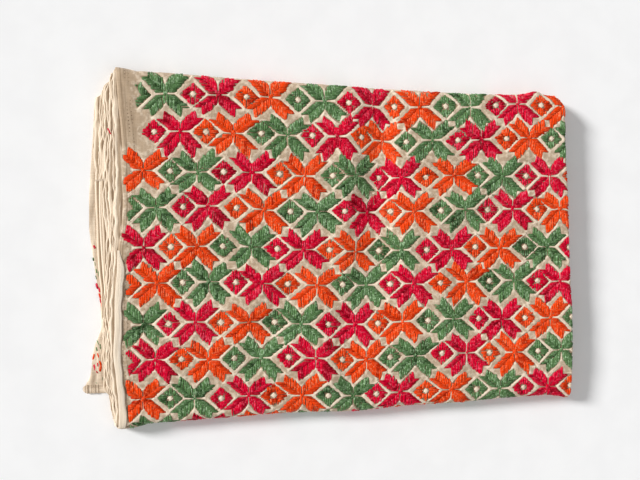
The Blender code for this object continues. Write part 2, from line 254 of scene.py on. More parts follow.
# Where the handwork runs off its even rows: the middle of each place on the flat cloth, how
# far it reaches both ways, and how far it goes to the right and to the front, in mm
STRAY_COLUMNS = ("x", "s", "reach_x", "reach_s", "right", "front")
STRAY_ROWS = (
    (0, 0, 2000, 2000, 0.0, 0.9),
    (108, 138, 52, 44, 0.0, 3.4),
    (-46, 57, 30, 50, 0.0, 2.3),
    (-57, 107, 40, 46, 2.8, 0.0),
    (-134, 148, 55, 36, 0.0, -2.2),
    (-73, -97, 95, 70, -2.4, 0.0),
    (90, 88, 45, 30, -2.2, 0.0),
    (185, 150, 60, 40, 2.8, -0.6),
    (-150, 38, 60, 40, -1.3, 0.0),
    (-134, -20, 60, 60, 0.0, -1.3),
    (15, -135, 45, 40, 0.0, 1.6),
    (10, -80, 34, 24, -1.4, 0.0),
    (136, -125, 40, 40, 1.2, 0.0),
    (240, 20, 60, 120, 0.0, 1.0),
    (8, 138, 26, 42, 0.0, -2.9),
    (56, 116, 26, 30, 0.0, 1.6),
    (160, 165, 30, 20, 0.0, 1.6),
    (-56, 12, 24, 40, 0.0, 1.9),
    (-130, 15, 45, 40, -0.8, -1.0),
    (105, 4, 30, 32, 0.0, 1.8),
    (218, -6, 26, 30, 2.2, -0.8),
    (36, 20, 36, 26, 1.6, 0.0),
    (-200, 0, 28, 80, 1.1, 0.0),
    (-145, -90, 45, 34, -1.4, 0.0),
    (12, -100, 28, 52, 0.0, 1.2),
    (168, -136, 60, 26, 0.8, 1.4),
    (190, -92, 26, 20, -1.4, -0.6),
    (-104, -156, 42, 26, -1.6, 1.3),
    (78, -100, 20, 46, 0.0, -1.0),
    (-86, 124, 30, 24, 1.3, 0.0),
)

# One arm of a star, up and to the right of its middle, in mm
ARM_ROOT = (0.7, 0.8)
ARM_SIDE = (0.9, 9.8)
ARM_SHOULDER = (6.2, 16.6)
ARM_HIGH = (15.2, 23.6)
ARM_NOTCH = (17.4, 14.6)
ARM_WIDE = (25.4, 15.2)
ARM_HIP = (17.2, 7.7)
ARM_FOOT = (9.8, 1.2)
ARM_UPPER = (ARM_SIDE, ARM_SHOULDER, ARM_HIGH)
ARM_LOWER = (ARM_FOOT, ARM_HIP, ARM_WIDE)
ARM_OUTLINE = (ARM_ROOT,) + ARM_UPPER + (ARM_NOTCH,) + ARM_LOWER[::-1]
ARMS = ((1, 1, 0.95), (-1, 1, 0.95), (-1, -1, 1.06), (1, -1, 1.06))
SEAM_OVERLAP = 0.7
UPRIGHT_STITCHES = 10
LEVEL_STITCHES = 10

# The diamond between two stars, in mm
DIAMOND_REACH = 13.2
DIAMOND_HOLE = 3.9
DIAMOND_STITCHES = (-5.0, -3.0, -1.0, 1.0, 3.0, 5.0)

# The half diamond at the left end of a row, from its right-hand corner, in mm
CHEVRON_HIGH = (-12.0, 12.5)
CHEVRON_HIGH_LEFT = (-17.0, 8.7)
CHEVRON_NOTCH = (-9.6, -1.0)
CHEVRON_LOW_LEFT = (-16.0, -6.0)
CHEVRON_LOW = (-13.4, -15.0)
CHEVRON_OUTLINE = (
    (0.0, 0.0),
    CHEVRON_HIGH,
    CHEVRON_HIGH_LEFT,
    CHEVRON_NOTCH,
    CHEVRON_LOW_LEFT,
    CHEVRON_LOW,
)
CHEVRON_STITCHES = 8

# One stitch of floss: how far along it each station is, and how wide and high it is there
STITCH_WIDTH = 2.45
STITCH_HEIGHT = 0.95
STITCH_COLUMNS = ("along", "width", "height")
STITCH_STATIONS = (
    (0.0, 0.45, -0.15),
    (0.1, 0.85, 0.75),
    (0.5, 1.0, 1.0),
    (0.9, 0.85, 0.75),
    (1.0, 0.45, -0.15),
)
STITCH_ACROSS = (-1.0, -0.6, 0.0, 0.6, 1.0)
STITCH_ROUND = (0.0, 0.78, 1.0, 0.78, 0.0)

# How far the gaps between the stitched areas are measured, and the widths of gap from which
# the cloth no longer stands up as one ridge, in mm
FAR_GAP = 9.0
NARROW_START = 3.2
NARROW_END = 6.4


def columns(names, rows, scale=MM):
    """A table's columns by name, in metres."""
    return {name: column * scale for name, column in zip(names, np.array(rows, float).T)}


def along(knots, values, at):
    """The values at some places, on a smooth curve through a table's rows."""
    if knots[0] > knots[-1]:
        knots, values = knots[::-1], values[::-1]
    rises = np.diff(values) / np.diff(knots)
    slopes = np.concatenate([rises[:1], np.zeros(len(rises) - 1), rises[-1:]])
    level = rises[:-1] * rises[1:]
    same_way = np.flatnonzero(level > 0)
    pairs = rises[same_way] + rises[same_way + 1]
    slopes[same_way + 1] = 2 * level[same_way] / pairs
    i = np.clip(np.searchsorted(knots, at) - 1, 0, len(knots) - 2)
    span = knots[i + 1] - knots[i]
    t = np.clip((at - knots[i]) / span, 0.0, 1.0)
    start = (1 + 2 * t) * (1 - t) ** 2 * values[i] + t * (1 - t) ** 2 * span * slopes[i]
    end = t * t * (3 - 2 * t) * values[i + 1] - t * t * (1 - t) * span * slopes[i + 1]
    return start + end


def ease(t):
    """A smooth step from 0 to 1."""
    t = np.clip(t, 0.0, 1.0)
    return t * t * (3 - 2 * t)


BACK_FOLD = columns(BACK_FOLD_COLUMNS, BACK_FOLD_ROWS)
FRONT_FOLD = columns(FRONT_FOLD_COLUMNS, FRONT_FOLD_ROWS)
RIGHT_FOLD = columns(RIGHT_FOLD_COLUMNS, RIGHT_FOLD_ROWS)
LEFT_EDGE = columns(LEFT_EDGE_COLUMNS, LEFT_EDGE_ROWS)


def back_fold(x):
    return along(BACK_FOLD["x"], BACK_FOLD["y"], x)


def front_fold(x):
    return along(FRONT_FOLD["x"], FRONT_FOLD["y"], x)


def right_fold(y, which="panel"):
    return along(RIGHT_FOLD["y"], RIGHT_FOLD[which], y)


def left_edge(ply, y):
    """X of a ply's selvedge, between the two nearest edges of the table."""
    place = EDGE_OF_PLY[ply - 1]
    low = min(int(place), len(LEFT_EDGE_COLUMNS) - 3)
    a = along(LEFT_EDGE["y"], LEFT_EDGE[f"edge_{low}"], y)
    b = along(LEFT_EDGE["y"], LEFT_EDGE[f"edge_{low + 1}"], y)
    return a + (b - a) * (place - low)


def swelled(start, rows, x, y, power):
    """A height, raised and lowered by a table of swells or creases. The power says how
    suddenly they end."""
    for row in rows:
        swell = dict(zip(SWELL_COLUMNS, row))
        turn = math.radians(swell["turn"])
        dx, dy = x / MM - swell["x"], y / MM - swell["y"]
        lengthwise = (dx * math.cos(turn) + dy * math.sin(turn)) / swell["length"]
        across = (dy * math.cos(turn) - dx * math.sin(turn)) / swell["width"]
        start = start + swell["height"] * MM * np.exp(-(lengthwise**power) - across**2)
    return start


def pile_height(x, y):
    """The height of the pile at a place, with its crown, its lower front and its swells."""
    crown_x, crown_y = np.maximum(0.0, 1 - (x / CROWN_X) ** 2), np.maximum(0.0, 1 - (y / CROWN_Y) ** 2)
    height = EDGE_HEIGHT + CROWN * (crown_x * crown_y)
    height = height - LEFT_DROOP * ease((DROOP_X - x) / DROOP_SPAN)
    height = height - FRONT_DROP * ease((DROP_Y - y) / DROP_SPAN)
    return swelled(height, SWELL_ROWS, x, y, 2)


def fuller(value, power):
    """A sine or a cosine bent towards -1 and 1, for a rounder or a squarer outline."""
    return np.sign(value) * np.abs(value) ** power


def together(*parts):
    """Arrays as the last axis of one array."""
    return np.stack(np.broadcast_arrays(*parts), axis=-1)


# A run goes once round the pile: 0 to 1 up the front fold, 1 to 2 back over the top,
# 2 to 3 down the back fold, and 3 to 4 forward under the bottom.
def run_for_y(y, x, under=False):
    """The run at which the top, or the bottom, passes over a y."""
    front, back = front_fold(x) + END_RUN, back_fold(x) - END_RUN
    share = (y - front) / (back - front)
    return 4 - share if under else 1 + share


def pile_point(x, run, depth):
    """Points of the pile from their x, their run round the pile and their depth."""
    x, run, depth = np.broadcast_arrays(x, np.asarray(run) % 4, depth)
    front, back = front_fold(x), back_fold(x)
    half = EDGE_HEIGHT / 2
    at_front = run <= 1
    at_back = (run >= 2) & (run <= 3)
    phi = math.pi * np.where(at_front, run - 0.5, 2.5 - run)
    sine = fuller(np.sin(phi), 2 / END_FULLNESS)
    cosine = np.maximum(np.cos(phi), 0.0) ** (2 / END_FULLNESS)
    inward = half * depth + (END_RUN - half * depth) * (1 - cosine)
    share = np.where(run < 2, run - 1, 4 - run)
    y = front + END_RUN + share * (back - front - 2 * END_RUN)
    y = np.where(at_front, front + inward, np.where(at_back, back - inward, y))
    level = np.where(run < 2, 1 - depth / 2, depth / 2)
    level = np.where(at_front | at_back, 0.5 + 0.5 * (1 - depth) * sine, level)
    return together(x, y, pile_height(x, y) * level)


def ring_edge(ring, run):
    """X of the selvedge of a ring, which joins an upper ply to a lower one."""
    run = np.asarray(run, float) % 4
    share = np.where(run <= 1, ease(run), np.where(run < 2, 1.0, ease(3 - run)))
    x = np.full_like(run, CORE_LEFT)
    for _ in range(3):
        y = pile_point(x, run, (ring - 1) * RING_DEPTH)[..., 1]
        x = share * left_edge(ring, y) + (1 - share) * left_edge(PLIES + 1 - ring, y)
    return x


# How the flat cloth lies on the pile: a table of s for each x and run, and its inverse
TABLE_X = np.linspace(-0.275, 0.285, 85)
TABLE_RUN = np.linspace(-0.3, 3.3, 1601)
TABLE_S = np.linspace(-0.30, 0.30, 601)


def s_table():
    """S at each x and run of the tables, from the length of the pile's outside."""
    points = pile_point(TABLE_X[:, None], TABLE_RUN[None, :], 0.0)
    steps = np.linalg.norm(np.diff(points[..., 1:], axis=1), axis=-1)
    length = np.concatenate([np.zeros((len(TABLE_X), 1)), np.cumsum(steps, axis=1)], axis=1)
    top = (TABLE_RUN > 1) & (TABLE_RUN < 2)
    zero = [np.interp(0.0, y[top], far[top]) for y, far in zip(points[..., 1], length)]
    return length - np.array(zero)[:, None]


S_TABLE = s_table()
RUN_TABLE = np.array([np.interp(TABLE_S, row, TABLE_RUN) for row in S_TABLE])


def looked_up(table, rows, across, row, column):
    """A table's values between its rows and columns, both evenly spaced."""
    row, column = np.broadcast_arrays(row, column)
    i = np.clip((row - rows[0]) / (rows[1] - rows[0]), 0, len(rows) - 1.001)
    j = np.clip((column - across[0]) / (across[1] - across[0]), 0, len(across) - 1.001)
    low_i, low_j = i.astype(int), j.astype(int)
    i, j = i - low_i, j - low_j
    near = table[low_i, low_j] * (1 - j) + table[low_i, low_j + 1] * j
    far = table[low_i + 1, low_j] * (1 - j) + table[low_i + 1, low_j + 1] * j
    return near * (1 - i) + far * i


def s_at(x, run):
    """S on the flat cloth at a place on the pile."""
    return looked_up(S_TABLE, TABLE_X, TABLE_RUN, np.clip(x, TABLE_X[0], TABLE_X[-1]), run)


def run_at(x, s):
    """The run at which a place on the flat cloth lies."""
    return looked_up(RUN_TABLE, TABLE_X, TABLE_S, x, s)


def under_run(y):
    """The run at which the lowest ply passes over a y at its left end."""
    return float(run_for_y(y, HEM_LEFT, under=True))


def right_at(run, which="panel"):
    """X of a lengthwise fold at a run, as the frame has it."""
    return right_fold(pile_point(right_fold(0.0), run, 0.0)[..., 1], which)


def turned(x, run, which="panel", near=0.0):
    """X and depth on the pile of cloth that passes round a lengthwise fold."""
    right = right_at(run, which)
    past = x - (right - TURN_RADIUS)
    turn = np.clip(past / TURN_RADIUS, 0, math.pi)
    flap = np.maximum(past - math.pi * TURN_RADIUS, 0.0)
    inset = TURN_RADIUS - TURN_RADIUS * np.sin(turn) + flap
    depth = near + (BAND_DEPTH - SLIT) / 2 * (1 - np.cos(turn))
    return np.where(past > 0, right - inset, x), depth


def turned_end(run):
    """X on the flat cloth where it ends under the lengthwise fold."""
    return right_at(run) + math.pi / 2 * TURN_RADIUS + TURNED_IN


def creased(points):
    """The top panel's points, lifted and lowered by the soft creases across it."""
    x, y, z = np.moveaxis(points, -1, 0)
    share = ease((z / EDGE_HEIGHT - 0.5) / 0.4)
    return together(x, y, z + swelled(0.0, CREASE_ROWS, x, y, 4) * share)


def panel_place(x, s):
    """Points of the top panel from their places on the flat cloth."""
    run = run_at(np.minimum(x, PANEL_LAST_X), s)
    x, depth = turned(x, run)
    return creased(pile_point(x, run, depth))


def band_place(which, near, under):
    """The same for a fold of the right edge, with x from the fold itself."""

    def place(x, s):
        run = run_at(BAND_X, s)
        run = 5 - run if under else run
        x, depth = turned(right_at(run, which) + x, run, which, near)
        return pile_point(x, run, depth)

    return place


def leaf_place(x, y):
    """Points on the upper side of the lowest ply."""
    return pile_point(x, run_for_y(y, x, under=True), CLOTH_DEPTH)


def ply_place(ring):
    """Points on the upper side of a ring's upper ply."""
    return lambda x, y: pile_point(x, run_for_y(y, x), (ring - 1) * RING_DEPTH)


def normals(along_a, along_b):
    """The unit vectors square to two directions."""
    normal = np.cross(along_a, along_b)
    return normal / np.maximum(np.linalg.norm(normal, axis=-1, keepdims=True), 1e-12)


def waves(seed, at, longest, shortest, count=7):
    """A smooth uneven curve between about -1 and 1, the same on each run."""
    rng = np.random.default_rng(seed)
    lengths = np.geomspace(longest, shortest, count)
    phases = rng.uniform(0, 2 * math.pi, count)
    sizes = rng.uniform(0.5, 1.0, count)
    total = sum(
        size * np.sin(2 * math.pi * at / length + phase)
        for size, length, phase in zip(sizes, lengths, phases)
    )
    return total / np.sqrt(count)


def mesh_piece(name, points, faces, maps, material):
    """An object from arrays of points, four-cornered faces and texture maps."""
    mesh = bpy.data.meshes.new(name)
    mesh.vertices.add(points.size // 3)
    mesh.vertices.foreach_set("co", points.astype(np.float32).ravel())
    mesh.loops.add(faces.size)
    mesh.loops.foreach_set("vertex_index", faces.astype(np.int32).ravel())
    mesh.polygons.add(len(faces))
    mesh.polygons.foreach_set("loop_start", np.arange(0, faces.size, 4, dtype=np.int32))
    for map_name, places in maps.items():
        layer = mesh.uv_layers.new(name=map_name)
        places = places.reshape(-1, 2)[faces.ravel()]
        layer.data.foreach_set("uv", places.astype(np.float32).ravel())
    mesh.update(calc_edges=True)
    mesh.shade_smooth()
    mesh.materials.append(material)
    piece = bpy.data.objects.new(name, mesh)
    bpy.context.scene.collection.objects.link(piece)
    return piece


def grid_faces(number):
    """The faces between the numbered points of a grid, or of several."""
    corners = number[..., :-1, :-1], number[..., :-1, 1:], number[..., 1:, 1:], number[..., 1:, :-1]
    return np.stack(corners, axis=-1).reshape(-1, 4)


def grid_piece(name, points, maps, material, closed_rows=False, closed_columns=False):
    """A sheet from a grid of points. Its maps are grids of pairs."""
    number = np.arange(points.size // 3).reshape(points.shape[:2])
    number = np.pad(number, ((0, int(closed_rows)), (0, int(closed_columns))), mode="wrap")
    return mesh_piece(name, points, grid_faces(number), maps, material)


def turned_frame(wide, tall, angle):
    """The matrix that stretches a motif and turns it."""
    cosine, sine = math.cos(angle), math.sin(angle)
    return np.array(((wide * cosine, -tall * sine), (wide * sine, tall * cosine)))


def pulled(x, s):
    """Where the trough across the top draws the middle of a motif."""
    near = (x - PULL_MIDDLE) / PULL_REACH
    forward = (PULL_FORWARD + PULL_FORWARD_BACK * s / 180) * math.exp(-near * near)
    right = -PULL_TOGETHER * 2.2 * near * math.exp(-2.2 * near * near)
    for row in STRAY_ROWS:
        stray = dict(zip(STRAY_COLUMNS, row))
        away = ((x - stray["x"]) / stray["reach_x"]) ** 2 + ((s - stray["s"]) / stray["reach_s"]) ** 2
        right += stray["right"] * math.exp(-away)
        forward += stray["front"] * math.exp(-away)
    return x + right, s - forward


def drawn(x, s):
    """How the cloth is stretched and sheared round a place, as a matrix."""
    step = 12.0
    along_x = np.subtract(pulled(x + step, s), pulled(x - step, s))
    along_s = np.subtract(pulled(x, s + step), pulled(x, s - step))
    return np.stack([along_x, along_s], axis=-1) / (2 * step)


def motifs(rng):
    """Each stitched area: its kind, its middle on the flat cloth in mm, its frame, its colour."""
    made = []
    rows_s = [s for s, *_ in STAR_ROWS]
    for i, (s, gain, first, pitch) in enumerate(STAR_ROWS):
        row = i + FIRST_ROW
        above = rows_s[i - 1] - s if i else ROW_PITCH
        below = s - rows_s[i + 1] if i + 1 < len(STAR_ROWS) else ROW_PITCH
        for k in range(int((LAST_STAR - first) / pitch) + 2):
            colour = COLOURS[(k + row) % len(COLOURS)]
            x = first + k * pitch
            level = s + gain * (x + ROW_WIDTH / 2) / ROW_WIDTH
            middle = np.array(pulled(x, level)) + rng.normal(0, 0.7, 2)
            drawn_here = drawn(x, level)
            for wide, tall, longer in ARMS:
                room = ((above if tall > 0 else below) / ROW_PITCH) ** 0.8
                wide, tall = wide * rng.normal(1, 0.035), tall * longer * room * rng.normal(1, 0.04)
                frame = drawn_here @ turned_frame(wide, tall, rng.normal(0, 0.035))
                made.append(("arm", middle, frame, colour))
            made.append(("knot", middle, turned_frame(1, 1, rng.normal(0, 0.3)), colour))
            beside = np.array(pulled(x - pitch / 2, level)) + rng.normal(0, 0.5, 2)
            wide, tall = rng.normal(1, 0.035), 0.96 * rng.normal(1, 0.035)
            frame = drawn(x - pitch / 2, level) @ turned_frame(wide, tall, rng.normal(0, 0.03))
            if k or row in DIAMOND_LEFT_ROWS:
                colour = ODD_DIAMONDS.get((row, k), colour)
                made.append(("diamond", beside, frame, colour))
            elif row in CHEVRON_ROWS:
                made.append(("chevron", beside + (DIAMOND_REACH, 0), frame, colour))
    return made


def arm_stitches():
    """The stitches of an arm, as starts and ends: uprights first, then level ones."""
    made = []
    for share in (np.arange(UPRIGHT_STITCHES) + 0.5) / UPRIGHT_STITCHES:
        x = ARM_ROOT[0] + share * (ARM_NOTCH[0] - ARM_ROOT[0])
        low = np.interp(x, (ARM_ROOT[0], ARM_NOTCH[0]), (ARM_ROOT[1], ARM_NOTCH[1]))
        top_x = x - (0.3 + 0.8 * share)
        high = np.interp(top_x, *zip(*ARM_UPPER))
        made.append(((x + 0.1, low - SEAM_OVERLAP), (top_x, high)))
    for share in (np.arange(LEVEL_STITCHES) + 0.5) / LEVEL_STITCHES:
        y = ARM_FOOT[1] + share * (ARM_NOTCH[1] - ARM_FOOT[1])
        near = np.interp(y, (ARM_ROOT[1], ARM_NOTCH[1]), (ARM_ROOT[0], ARM_NOTCH[0]))
        far = np.interp(y, *list(zip(*ARM_LOWER))[::-1])
        made.append(((near - SEAM_OVERLAP, y - 0.3), (far, y + 0.2)))
    return np.array(made)


KNOT_STITCHES = np.array(
    (
        ((-0.8, -2.9), (-0.7, 2.8)),
        ((0.9, -2.7), (0.7, 3.0)),
        ((-2.4, -0.5), (2.3, 0.4)),
    )
)


def diamond_stitches():
    """Four quarters of a diamond round a hole, its top and bottom with upright stitches."""
    made = []
    for x in DIAMOND_STITCHES:
        near = max(abs(x), DIAMOND_HOLE - abs(x))
        far = DIAMOND_REACH - abs(x) + 0.3
        for side in (1, -1):
            made.append(((x, side * near), (x, side * far)))
            made.append(((side * near, x), (side * far, x)))
    return np.array(made)


def chevron_stitches():
    """The right half of a diamond, open to the left: upright stitches over level ones."""
    made = []
    shares = (np.arange(CHEVRON_STITCHES) + 0.5) / CHEVRON_STITCHES
    upper = np.array((CHEVRON_HIGH_LEFT, CHEVRON_HIGH, (0.0, 0.0)))
    inner = np.array((CHEVRON_HIGH_LEFT, CHEVRON_NOTCH, (0.0, -0.6)))
    for x in CHEVRON_HIGH_LEFT[0] * shares:
        low = np.interp(x, inner[:, 0], inner[:, 1])
        made.append(((x, low - 0.3), (x + 0.3, np.interp(x, upper[:, 0], upper[:, 1]))))
    outer = np.array((CHEVRON_LOW, (0.0, 0.0)))
    inner = np.array((CHEVRON_LOW, CHEVRON_LOW_LEFT, CHEVRON_NOTCH))
    for y in CHEVRON_LOW[1] * shares:
        near = np.interp(y, inner[:, 1], inner[:, 0])
        made.append(((near, y), (np.interp(y, outer[:, 1], outer[:, 0]) - 0.3, y)))
    return np.array(made)


STITCHES = {
    "arm": arm_stitches(),
    "knot": KNOT_STITCHES,
    "diamond": diamond_stitches(),
    "chevron": chevron_stitches(),
}
OUTLINES = {
    "arm": ARM_OUTLINE,
    "diamond": ((DIAMOND_REACH, 0), (0, DIAMOND_REACH), (-DIAMOND_REACH, 0), (0, -DIAMOND_REACH)),
    "chevron": CHEVRON_OUTLINE,
}


def placed(motif, rng):
    """A motif's stitches on the flat cloth, in mm, each a little uneven."""
    kind, middle, frame, _ = motif
    made = STITCHES[kind] @ frame.T + middle
    way = made[:, 1] - made[:, 0]
    length = np.linalg.norm(way, axis=1, keepdims=True)
    way /= np.maximum(length, 1e-6)
    made[:, 0] -= way * rng.normal(0, 0.4, (len(made), 1))
    made[:, 1] += way * rng.normal(0.1, 0.9, (len(made), 1))
    return made + rng.normal(0, 0.32, made.shape)


def distance_outside(points, outline):
    """How far each point is outside an outline, and negative inside."""
    near = np.full(len(points), np.inf)
    inside = np.zeros(len(points), bool)
    for a, b in zip(outline, np.roll(outline, -1, axis=0)):
        edge = b - a
        from_a = points - a
        t = np.clip(from_a @ edge / (edge @ edge), 0, 1)
        near = np.minimum(near, np.linalg.norm(from_a - t[:, None] * edge, axis=1))
        crosses = (a[1] > points[:, 1]) != (b[1] > points[:, 1])
        level = (b[1] - a[1]) if b[1] != a[1] else 1e-9
        at_x = a[0] + (points[:, 1] - a[1]) * edge[0] / level
        inside ^= crosses & (points[:, 0] < at_x)
    return np.where(inside, -near, near)


def gaps_on(x, s, areas):
    """How far each place on the cloth is from the nearest stitched area, and how wide the
    gap is that it lies in, in mm."""
    gap = np.full(x.shape, FAR_GAP)
    second = np.full(x.shape, FAR_GAP)
    for kind, middle, frame, _ in areas:
        if kind not in OUTLINES:
            continue
        outline = np.array(OUTLINES[kind], float) @ frame.T + middle
        low, high = outline.min(axis=0) - FAR_GAP / 2, outline.max(axis=0) + FAR_GAP / 2
        window = (x > low[0]) & (x < high[0]) & (s > low[1]) & (s < high[1])
        if not window.any():
            continue
        points = np.stack([x[window], s[window]], axis=-1)
        away = distance_outside(points, outline)
        if kind == "diamond":
            hole = DIAMOND_HOLE - np.abs(points - middle).sum(axis=1)
            away = np.where(hole > 0, np.minimum(hole, 1.2), away)
            second[window] = np.where(hole > 0, 1.2, second[window])
        second[window] = np.minimum(second[window], np.maximum(gap[window], away))
        gap[window] = np.minimum(gap[window], away)
    return gap, gap + second


def floss_mesh(name, stitches, place, material, rng, width=STITCH_WIDTH, height=STITCH_HEIGHT):
    """Raised stitches on a surface: each a rounded ribbon that dips in at both ends."""
    stations = columns(STITCH_COLUMNS, STITCH_STATIONS, scale=1.0)
    far, wide, high = (stations[key][:, None] for key in STITCH_COLUMNS)
    across, ribbon = np.array(STITCH_ACROSS), np.array(STITCH_ROUND)
    start, way = stitches[:, 0], stitches[:, 1] - stitches[:, 0]
    length = np.linalg.norm(way, axis=1)
    way /= length[:, None]
    half = width / 2 * rng.normal(1, 0.16, len(stitches))
    tall = height * rng.normal(1, 0.22, len(stitches))
    (start_x, start_s), (way_x, way_s) = start.T[..., None, None], way.T[..., None, None]
    side = half[:, None, None] * wide * across
    far = length[:, None, None] * far
    x = (start_x + way_x * far - way_s * side) * MM
    s = (start_s + way_s * far + way_x * side) * MM
    lift = tall[:, None, None] * np.where(high > 0, high * ribbon, high) * MM
    step = 0.3 * MM
    normal = normals(place(x + step, s) - place(x - step, s), place(x, s + step) - place(x, s - step))
    points = place(x, s) + normal * lift[..., None]
    points[..., 2] = np.maximum(points[..., 2], 0.0)
    faces = grid_faces(np.arange(points.size // 3).reshape(points.shape[:3]))[:, ::-1]
    tone = rng.uniform(0, 1, len(stitches))
    spread = waves(3, start @ (1.0, 0.6), 90, 14) * waves(4, start @ (-0.5, 1.0), 80, 12)
    tone = np.clip(0.6 * tone + 0.2 + 0.9 * spread, 0, 1)[:, None, None]
    # The upright share sets each stitch's painted sheen, and the distance from its middle sets the
    # painted shade at its sides.
    upright = np.broadcast_to(way_s**2, side.shape)
    maps = {
        "strand": together(across + 3 * np.round(40 * tone), far),
        "shade": together(tone, np.abs(across) + 0 * far),
        "lie": together(upright, upright),
    }
    return mesh_piece(name, points, faces, maps, material)


class Nodes:
    """The nodes of a new material."""

    def __init__(self, name):
        self.material = bpy.data.materials.new(name)
        self.material.use_nodes = True
        self.tree = self.material.node_tree

    def join(self, node, inputs):
        for key, value in inputs.items():
            if isinstance(value, Value):
                self.tree.links.new(value.socket, node.inputs[key])
            else:
                node.inputs[key].default_value = value

    def value(self, kind, inputs={}, output=0, **settings):
        """What a new node gives, from its inputs by name or number."""
        node = self.tree.nodes.new(kind)
        for key, setting in settings.items():
            setattr(node, key, setting)
        self.join(node, inputs)
        return Value(self, node.outputs[output])

    def map_parts(self, map_name):
        uv = self.value("ShaderNodeUVMap", uv_map=map_name)
        return [self.value("ShaderNodeSeparateXYZ", {0: uv}, key) for key in "XY"]

    def finish(self, colour, roughness, normal, **plain):
        plain = {key.replace("_", " "): value for key, value in plain.items()}
        inputs = {"Base Color": colour, "Roughness": roughness, "Normal": normal, **plain}
        self.join(self.tree.nodes["Principled BSDF"], inputs)
        return self.material


class Value:
    """What a material's node gives at each place. Each sum or step of it is a new node."""

    def __init__(self, nodes, socket):
        self.nodes = nodes
        self.socket = socket

    def math(self, operation, other=0.0, clamp=False):
        inputs = {0: self, 1: other}
        return self.nodes.value("ShaderNodeMath", inputs, operation=operation, use_clamp=clamp)

    def __add__(self, other):
        return self.math("ADD", other)

    def __mul__(self, other):
        return self.math("MULTIPLY", other)

    def away(self, middle):
        """How far it is from a number."""
        return self.math("SUBTRACT", middle).math("ABSOLUTE")

    def span(self, low, high, to_low=0.0, to_high=1.0):
        """A smooth step between two numbers."""
        inputs = {0: self, 1: low, 2: high, 3: to_low, 4: to_high}
        return self.nodes.value("ShaderNodeMapRange", inputs, interpolation_type="SMOOTHSTEP")

    def joined(self, y, z=0.0):
        return self.nodes.value("ShaderNodeCombineXYZ", {0: self, 1: y, 2: z})

    def noise(self, scale, detail=2.0, roughness=0.5):
        inputs = {"Vector": self, "Scale": scale, "Detail": detail, "Roughness": roughness}
        return self.nodes.value("ShaderNodeTexNoise", inputs, "Fac")

    def mix(self, under, over):
        """One colour over another, with this as its share."""
        return self.nodes.value("ShaderNodeMix", {0: self, 6: under, 7: over}, 2, data_type="RGBA")

    def bump(self, distance, strength, **normal):
        inputs = {"Height": self, "Distance": distance, "Strength": strength, **normal}
        return self.nodes.value("ShaderNodeBump", inputs)


def colour(red, green, blue):
    """A colour as a screen shows it, from 0 to 255, for a shader."""
    shown = np.array((red, green, blue)) / 255
    linear = np.where(shown <= 0.04045, shown / 12.92, ((shown + 0.055) / 1.055) ** 2.4)
    return (*linear, 1.0)


# CREAM_PALE is the cotton's own paler tone on the lowest ply and the hem, and also the painted
# highlight on puffs, ply rims and crease ridges. CREAM_DEEP is painted shade in the weave's hollows, in
# creases, towards the plies above and beside the stitches, and the colour of the selvedge's faint
# lines.
CREAM = colour(207, 183, 155)
CREAM_PALE = colour(250, 231, 206)
# Painted light: the turned strip is the panel's own cotton, given this paler colour for the light that
# it catches.
CREAM_PAINTED_LIT = colour(255, 244, 226)
CREAM_TAN = colour(187, 161, 130)
CREAM_DEEP = colour(132, 106, 78)
FLECK = colour(112, 82, 56)

# The plain weave and its slubs
THREAD = 0.55 * MM
BANDS_PER_METRE = 0.31416
SLUB_ACROSS = 900.0
SLUB_ALONG = 35.0
WEAVE_RELIEF = 0.16 * MM
COTTON_SHEEN = {"Sheen_Weight": 0.15, "Sheen_Roughness": 0.6}

# Each cotton material: its name, its light and dark colours, how strong the painted shade in
# its creases is, how strong its folds are, and whether it has a painted highlight on its rim
# and painted shade towards the ply above
COTTON_ROWS = (
    ("plain_cotton", CREAM, CREAM_TAN, 0.25, 1.0, True),
    ("plain_cotton_deep", CREAM, CREAM_TAN, 0.4, 1.0, True),
    # Painted light: the turned strip is the panel's own cotton, in paler colours for the light that it
    # catches.
    ("plain_cotton_turned", CREAM_PAINTED_LIT, CREAM_PALE, 0.25, 0.4, True),
    ("plain_cotton_lowest", CREAM_PALE, CREAM, 0.4, 1.0, False),
    ("plain_cotton_core", CREAM, CREAM_TAN, 0.3, 1.0, False),
    ("hem_cotton", CREAM_PALE, CREAM, 0.3, 0.5, False),
)

# Each floss's bright colour, for its painted glints, its middle colour, and its dark colour,
# which also paints shade on the level stitches and at the sides of each stitch
FLOSS_COLOURS = {
    "green": ((196, 226, 184), (99, 137, 85), (24, 44, 18)),
    "crimson": ((255, 112, 136), (230, 0, 52), (116, 0, 12)),
    "orange": ((255, 158, 112), (255, 78, 18), (160, 22, 0)),
}

# The rows of pin holes, in mm: how far from the selvedge and how far apart the holes are,
# and by what share of that they are moved along
PIN_HOLE_ROWS = ((9.2, 3.7, 0.0), (13.0, 3.9, 0.4))
SELVEDGE_FOLD = 4.6 * MM


